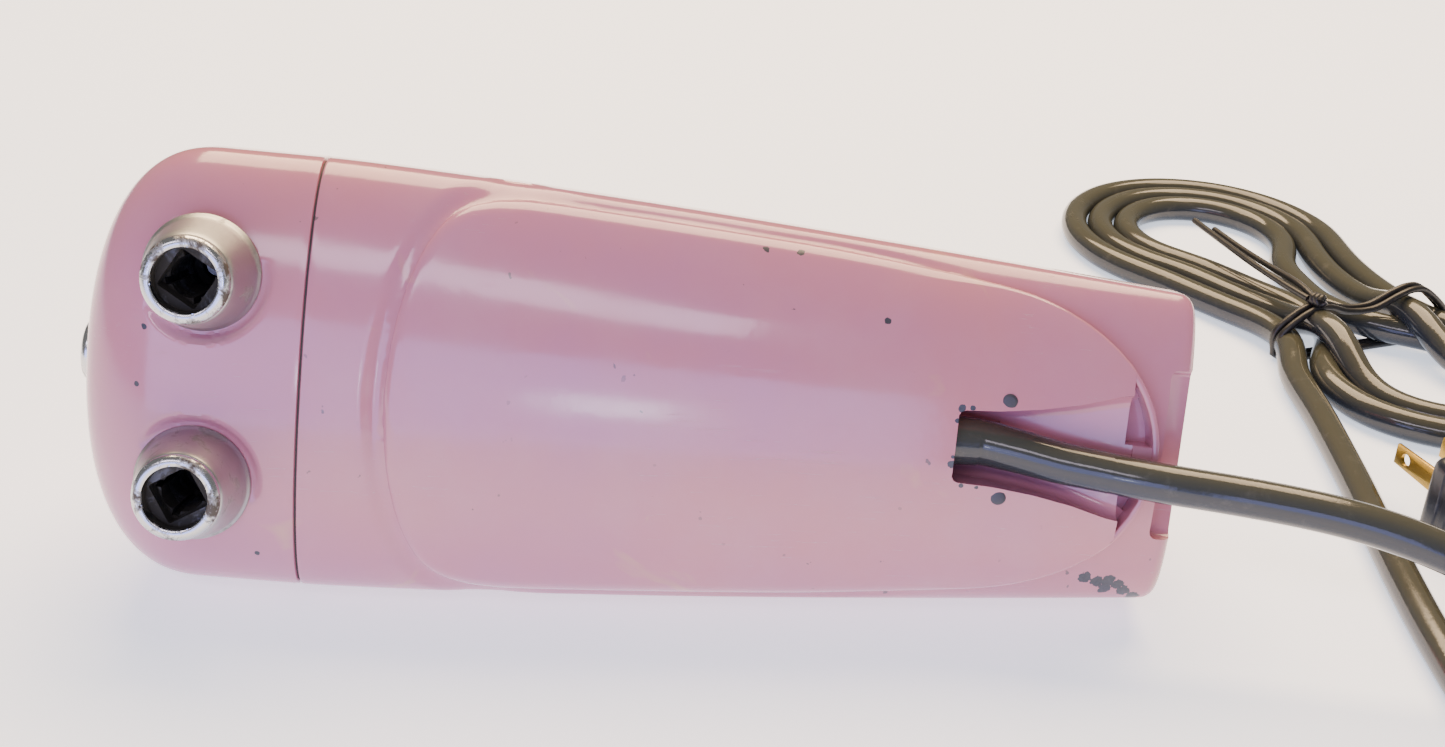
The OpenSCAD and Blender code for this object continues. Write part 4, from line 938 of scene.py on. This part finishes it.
# ---- handle ----
def loop_line(t):
    mid, reach = (FRONT_POST_X + REAR_POST_X) / 2, (REAR_POST_X - FRONT_POST_X) / 2
    height = SEAT_Z + (GRIP_Z - SEAT_Z) * np.abs(np.sin(t)) ** 0.5
    return np.stack([mid - reach * signed_pow(np.cos(t), 0.5), height], 1)


def grip_sweep(name, grow, low=None, sides=64, rows=110):
    """The handle's loop as a closed solid; low lifts its two ends off the seats."""
    fine = loop_line(np.linspace(0, pi, 4001))
    run = np.r_[0, np.cumsum(np.linalg.norm(np.diff(fine, axis=0), axis=1))]
    even = np.linspace(0, run[-1], rows)
    line = np.stack([np.interp(even, run, fine[:, 0]), np.interp(even, run, fine[:, 1])], 1)
    if low:
        line = line[line[:, 1] > low]
    ahead = np.gradient(line, axis=0)
    ahead /= np.linalg.norm(ahead, axis=1)[:, None]
    if not low:
        ahead[0], ahead[-1] = (0, 1), (0, -1)
    around = np.r_[np.linspace(0, 2 * pi, sides, endpoint=False), 0.0]

    def place(row, column):
        across = (GRIP_HALF_W + grow) * signed_pow(np.cos(around[column]), 0.8)
        out = (GRIP_HALF_H + grow) * signed_pow(np.sin(around[column]), 0.8)
        return np.stack([line[row, 0] - out * ahead[row, 1], across, line[row, 1] + out * ahead[row, 0]], 1)

    return skin(name, len(line) - 1, sides, place)


def handle_castings():
    """The hollow handle and the cover that closes its underside, parted by a hairline."""
    grip = grip_sweep("handle_casting", 0)
    cut(grip, grip_sweep("hollow", -2.5, low=SEAT_Z + 6, sides=32, rows=60))
    cover = grip.copy()
    cover.data = grip.data.copy()
    bpy.context.scene.collection.objects.link(cover)
    cover.name = cover.data.name = "handle_cover_plate"
    combine(cover, block("cover_window", (62.15, -8.85, 60), (149.85, 8.85, 79), 1.2), "INTERSECT")
    cut(grip, block("cover_seat", (61.9, -9.1, 60), (150.1, 9.1, 79), 1.3),
        rod("button_hole", (EJECTOR_X, 0, SEAT_Z + 13), (EJECTOR_X, 0, 120), 6.4, 48),
        rod("rod_hole", (EJECTOR_X, 0, SEAT_Z - 2), (EJECTOR_X, 0, SEAT_Z + 20), 2.6),
        block("speed_slot", (65.8, -4.2, GRIP_Z), (86.2, 4.2, 120), 1.5),
        rod("wire_hole", (REAR_POST_X, 0, SEAT_Z - 2), (REAR_POST_X, 0, SEAT_Z + 20), 4.5))
    return grip, cover


pink_nose = painted("pink_enamel_nose", [([(36, 34, -10.5), (13, 2, -14.5), (14, -9, -14.6)], 0.55)])
pink_housing = painted("pink_enamel_housing", [
    ([(128, -33, -8.5), (134.5, -33, -8.2), (134, -23, -14.8), (152, -22.5, -14.0), (167.4, -7.3, -16.2),
      (166.6, 3.5, -16.2)], 0.8),
    ([(166.8, -5, -16.6), (166.8, 2, -16.6), (169, 7.6, -16.4), (172, 7.7, -16.3), (169.5, -7.6, -16.4)], 0.45),
    ([(198, 26.3, -6.4), (200.5, 27.2, -5.8), (202.6, 28.6, -4.8), (205, 27.6, -5.2), (206.6, 29, -4.2),
      (209, 30.2, -2.8), (203, 26.8, -5.8)], 1.35),
])
pink_handle = painted("pink_enamel_handle", [([(150, 11, 92), (45, -12, 84), (190, 9, 62)], 0.6)])

settle(smooth(gear_case_casting()), "housing", "pink_enamel", pink_nose, "gear_case")
settle(smooth(motor_housing_casting()), "housing", "pink_enamel", pink_housing, "motor_housing")
grip_piece, cover_piece = handle_castings()
settle(smooth(grip_piece), "housing", "pink_enamel", pink_handle, "handle_shell")
settle(smooth(cover_piece), "housing", "pink_enamel", pink_handle, "handle_cover")


# ---- nose fittings ----
satin_cone = machined("satin_turned_zinc", (0.5, 0.5, 0.48), 0.34, 1500, (0.1, 0.08, 0.06), 0.45, 0.56)
ring_chrome = machined("worn_chrome", (0.62, 0.63, 0.63), 0.14, 1200, (0.05, 0.035, 0.018), 0.95, 0.5)
# near-black metal for the faces inside each bore, darker than the spindle's chrome
near_black_bore = machined("near_black_bore_metal", (0.1, 0.1, 0.1), 0.4, 900, (0.02, 0.017, 0.012), 0.9, 0.42)
badge_chrome = machined("badge_chrome", (0.7, 0.7, 0.7), 0.12, 900, (0.1, 0.08, 0.06), 0.6, 0.6)


def socket_cone(name, side):
    """Turned cone that stands in its dish, with a groove above its foot."""
    profile = [(6.56, 2.6), (6.56, -24.7), (6.95, -24.7), (6.95, -25.35), (7.15, -25.62), (7.85, -25.68), (8.1, -25.55),
               (8.28, -25.2), (8.6, -24.2), (9.3, -20.8), (9.98, -17.4), (10.25, -15.9), (10.55, -15.2),
               (10.85, -14.95),
               (11.0, -14.6), (10.9, -14.25), (7.42, -14.2), (7.42, 2.6), (6.56, 2.6)]
    cone = turned(name, profile, (SPINDLE_X, side * SPINDLE_Y, 0), steps=128)
    return smooth(cone, 40)


def spindle(name, side):
    """Spindle with its bevelled ring at the mouth and the keyed socket that takes a beater."""
    mouth = -27.5
    profile = [(0, mouth + 3), (5.85, mouth + 3), (5.9, mouth + 0.55), (6.05, mouth + 0.2), (6.4, mouth),
               (7.0, mouth + 0.03),
               (7.55, mouth + 0.3), (7.95, mouth + 0.75), (8.05, mouth + 1.1), (8.05, mouth + 1.45),
               (7.9, mouth + 1.55),
               (6.48, mouth + 1.6), (6.48, 3.4), (5.0, 3.45), (5.0, 26.2), (4.7, 26.4), (0, 26.4)]
    piece = turned(name, profile, (0, 0, 0), steps=96)
    bore = rod("bore", (0, 0, mouth - 2), (0, 0, -3.5), 4.0, 48)
    key = block("key", (-5, -0.7, mouth - 2), (5, 0.7, mouth + 22), 0.0)
    cross = block("key_across", (-0.7, -5, mouth - 2), (0.7, 5, mouth + 22), 0.0)
    square = block("seat", (-4.05, -4.05, mouth + 2), (4.05, 4.05, mouth + 6.5), 0.5)
    square.data.transform(Matrix.Rotation(radians(45), 4, "Z"))
    cut(piece, bore, key, cross, square, rod("stem_hole", (0, 0, -6), (0, 0, 40), 2.6, 24))
    # nicks that years of beaters have left round the mouth
    for turn, depth in ((20, 0.3), (118, 0.4), (214, 0.35), (318, 0.3)):
        nick = block("nick", (5.5, -0.25, mouth - 0.6), (6.0 + depth, 0.25, mouth + 0.25), 0.1, 1)
        nick.data.transform(Matrix.Rotation(radians(turn + 31 * side), 4, "Z"))
        cut(piece, nick)
    turned_by = Matrix.Rotation(radians(side * 14), 4, "Z")
    piece.data.transform(Matrix.Translation((SPINDLE_X, side * SPINDLE_Y, 0)) @ turned_by)
    return smooth(piece, 35)


def two_finishes(piece, second, chosen):
    """Gives the faces whose centres chosen(x, y, z) picks, upright in millimetres, a second finish."""
    piece.data.materials.append(second)
    back = LAID.inverted()
    for face in piece.data.polygons:
        if chosen(*(back @ face.center)):
            face.material_index = 1
    return piece


def in_bore(x, y, z):
    return np.hypot(x - SPINDLE_X, abs(y) - SPINDLE_Y) < 5.95 and z > -27.2 or z > -24


for side, word in ((-1, "left"), (1, "right")):
    settle(socket_cone(word + "_turned_cone", side), "housing", "satin_die_cast", satin_cone, word + "_socket_cone")
    ring = settle(spindle(word + "_keyed_spindle", side), word + "_drive", "worn_chrome_ring", ring_chrome,
                  word + "_spindle")
    two_finishes(ring, near_black_bore, in_bore)


def nose_badge():
    """Plain domed boss with a stepped rim, on the tip of the nose."""
    profile = [(0, -0.6), (6.3, -0.6), (6.5, -0.3), (6.5, 0.9), (6.35, 1.5), (5.9, 2.0), (5.2, 2.25), (4.7, 2.1),
               (4.3, 1.6),
               (3.9, 1.5), (3.3, 1.75), (2.2, 2.3), (1.1, 2.55), (0, 2.6)]
    badge = turned("nose_badge", profile, steps=72)
    badge.data.transform(Matrix.Translation((0, 0, 6)) @ Matrix.Rotation(radians(-90), 4, "Y"))
    return smooth(badge, 40)


settle(nose_badge(), "housing", "medallion_chrome", badge_chrome, "nose_medallion")

# ---- controls on the handle ----
plated = cast("plated_steel", (0.6, 0.6, 0.58), 0.3, 1.0, 1500)
knob_finish = moulded("knob_moulding", (0.035, 0.035, 0.038), 0.3, (0.12, 0.12, 0.12))


def ejector_button():
    profile = [(0, 68), (4.6, 68), (6.1, 68), (6.1, 89.6), (5.95, 90.6), (5.5, 91.6), (4.8, 92.3), (4.0, 92.6),
               (3.2, 92.45), (2.0, 92.1),
               (0, 91.95)]
    button = turned("ejector_button_cap", profile, (0, 0, 0), steps=72)
    cut(button, rod("rod_socket", (0, 0, 60), (0, 0, 82), 2.2), rod("spring_well", (0, 0, 60), (0, 0, 81.4), 4.8))
    for turn in range(0, 360, 20):
        flute = rod("flute", (6.45, 0, 84), (6.45, 0, 89), 0.55, 10)
        flute.data.transform(Matrix.Rotation(radians(turn), 4, "Z"))
        cut(button, flute)
    button.data.transform(Matrix.Translation((EJECTOR_X, 0, 0)))
    return smooth(button, 35)


def speed_knob():
    """Ridged thumb knob on its stem."""
    knob = block("speed_knob", (-6, -6.5, 97.9), (6, 6.5, 100.9), 0.9, 4)
    for i in range(-2, 3):
        cut(knob, block("finger_groove", (2 * i - 0.45, -9, 100.25), (2 * i + 0.45, 9, 102), 0.2, 2))
    weld(knob, block("stem", (-4, -4, 89.3), (4, 4, 98.3), 0.6))
    knob.data.transform(Matrix.Translation((SPEED_X, 0, 0)))
    return smooth(knob, 35)


settle(ejector_button(), "ejector", "control_knob", knob_finish, "ejector_button")
settle(speed_knob(), "speed_control", "control_knob", knob_finish, "speed_slide")

# ---- where the lead leaves ----
rivet_metal = cast("rivet_metal", (0.07, 0.07, 0.085), 0.5, 0.6, 2000)


def cord_sleeve():
    """Rubber sleeve that tapers on to the lead inside the slot."""
    line = np.array([tuple(LAID.inverted() @ (ON_FLOOR @ Vector(p))) for p in LEAD_LINE[:9]])
    first = np.linalg.norm(line[1] - line[0])
    line = evenly(line, 73, first - 3, first + 33)
    for _ in range(8):
        line[1:-1] = (line[:-2] + 2 * line[1:-1] + line[2:]) / 4
    share = np.linspace(0, 1, 73)
    radii = 3.96 + 0.85 * (1 - share) ** 1.5 + 0.15 * (share < 0.28)
    return smooth(swept("cord_sleeve", line, radii, 40), 40)


def slot_rivets():
    """The two rivets beside the slot, their heads worn nearly flush."""
    profile = [(0, 0.14), (0.9, 0.12), (1.35, 0.06), (1.55, -0.1), (1.6, -0.6), (0.8, -0.7), (0.8, -6), (0, -6)]
    flush = float(belly_under(np.array([RIVET_X]), np.array([RIVET_Y]))[0])
    heads = []
    for side in (-1, 1):
        head = turned("slot_rivets", profile, steps=40)
        head.data.transform(Matrix.Translation((RIVET_X, side * RIVET_Y, flush)) @ Matrix.Rotation(pi, 4, "X"))
        heads.append(head)
    return smooth(joined(*heads), 40)


settle(cord_sleeve(), "housing", "black_moulding", cord_rubber(), "cord_grommet")
settle(slot_rivets(), "housing", "rivet_steel", rivet_metal, "clamp_rivets")

# ---- finishes for the works inside ----
INNER_FINISHES = [
    (moulded("gasket_paper", (0.05, 0.045, 0.04), 0.7, (0.12, 0.1, 0.08)), "gasket_paper", ["seam_gasket"]),
    (cast("cast_alloy", (0.42, 0.42, 0.43)), "cast_alloy", ["gear_plate", "bulkhead", "cooling_fan"]),
    (plated, "plated_steel", ["rear_bracket", "ejector_rod", "ejector_yoke", "ejector_spring", "through_bolts",
                              "handle_screws",
                              "brush_springs", "cord_clamp", "motor_shaft"]),
    (cast("bronze_bush", (0.55, 0.36, 0.16), 0.42, 1.0, 1800), "bronze_bush",
     ["nose_bearing", "front_bearing", "rear_bearing"]),
    (striped("laminated_steel", (0.09, 0.09, 0.1), (0.34, 0.34, 0.35), 0.5, 0.45, 0.9), "lamination_steel",
     ["stator_core", "armature_core"]),
    (striped("enamelled_copper", (0.22, 0.06, 0.02), (0.72, 0.3, 0.12), 0.35, 0.35, 0.8, (0, 0, 1)), "copper_winding",
     ["field_coils", "armature_winding"]),
    (striped("commutator_copper", (0.3, 0.14, 0.06), (0.7, 0.4, 0.24), 1.3, 0.35, 1.0), "copper_winding",
     ["commutator"]),
    (moulded("brown_phenolic", (0.12, 0.05, 0.025), 0.45, (0.25, 0.15, 0.1)), "brown_phenolic", ["brush_holders"]),
    (moulded("fibre_gear", (0.3, 0.17, 0.07), 0.5, (0.14, 0.1, 0.05)), "brown_phenolic",
     ["left_worm_gear", "right_worm_gear"]),
    (moulded("brush_carbon", (0.03, 0.03, 0.032), 0.6, (0.09, 0.09, 0.09)), "carbon", ["carbon_brushes"]),
    (moulded("switch_moulding", (0.03, 0.03, 0.03), 0.45, (0.1, 0.1, 0.1)), "black_moulding", ["speed_switch"]),
    (moulded("wire_insulation", (0.75, 0.72, 0.65), 0.5, (0.5, 0.42, 0.3)), "wire_insulation", ["internal_leads"]),
]
for finish, slot, nodes in INNER_FINISHES:
    for name in nodes:
        node = frame["nodes"][name]
        node.data.materials.clear()
        node.data.materials.append(finish)
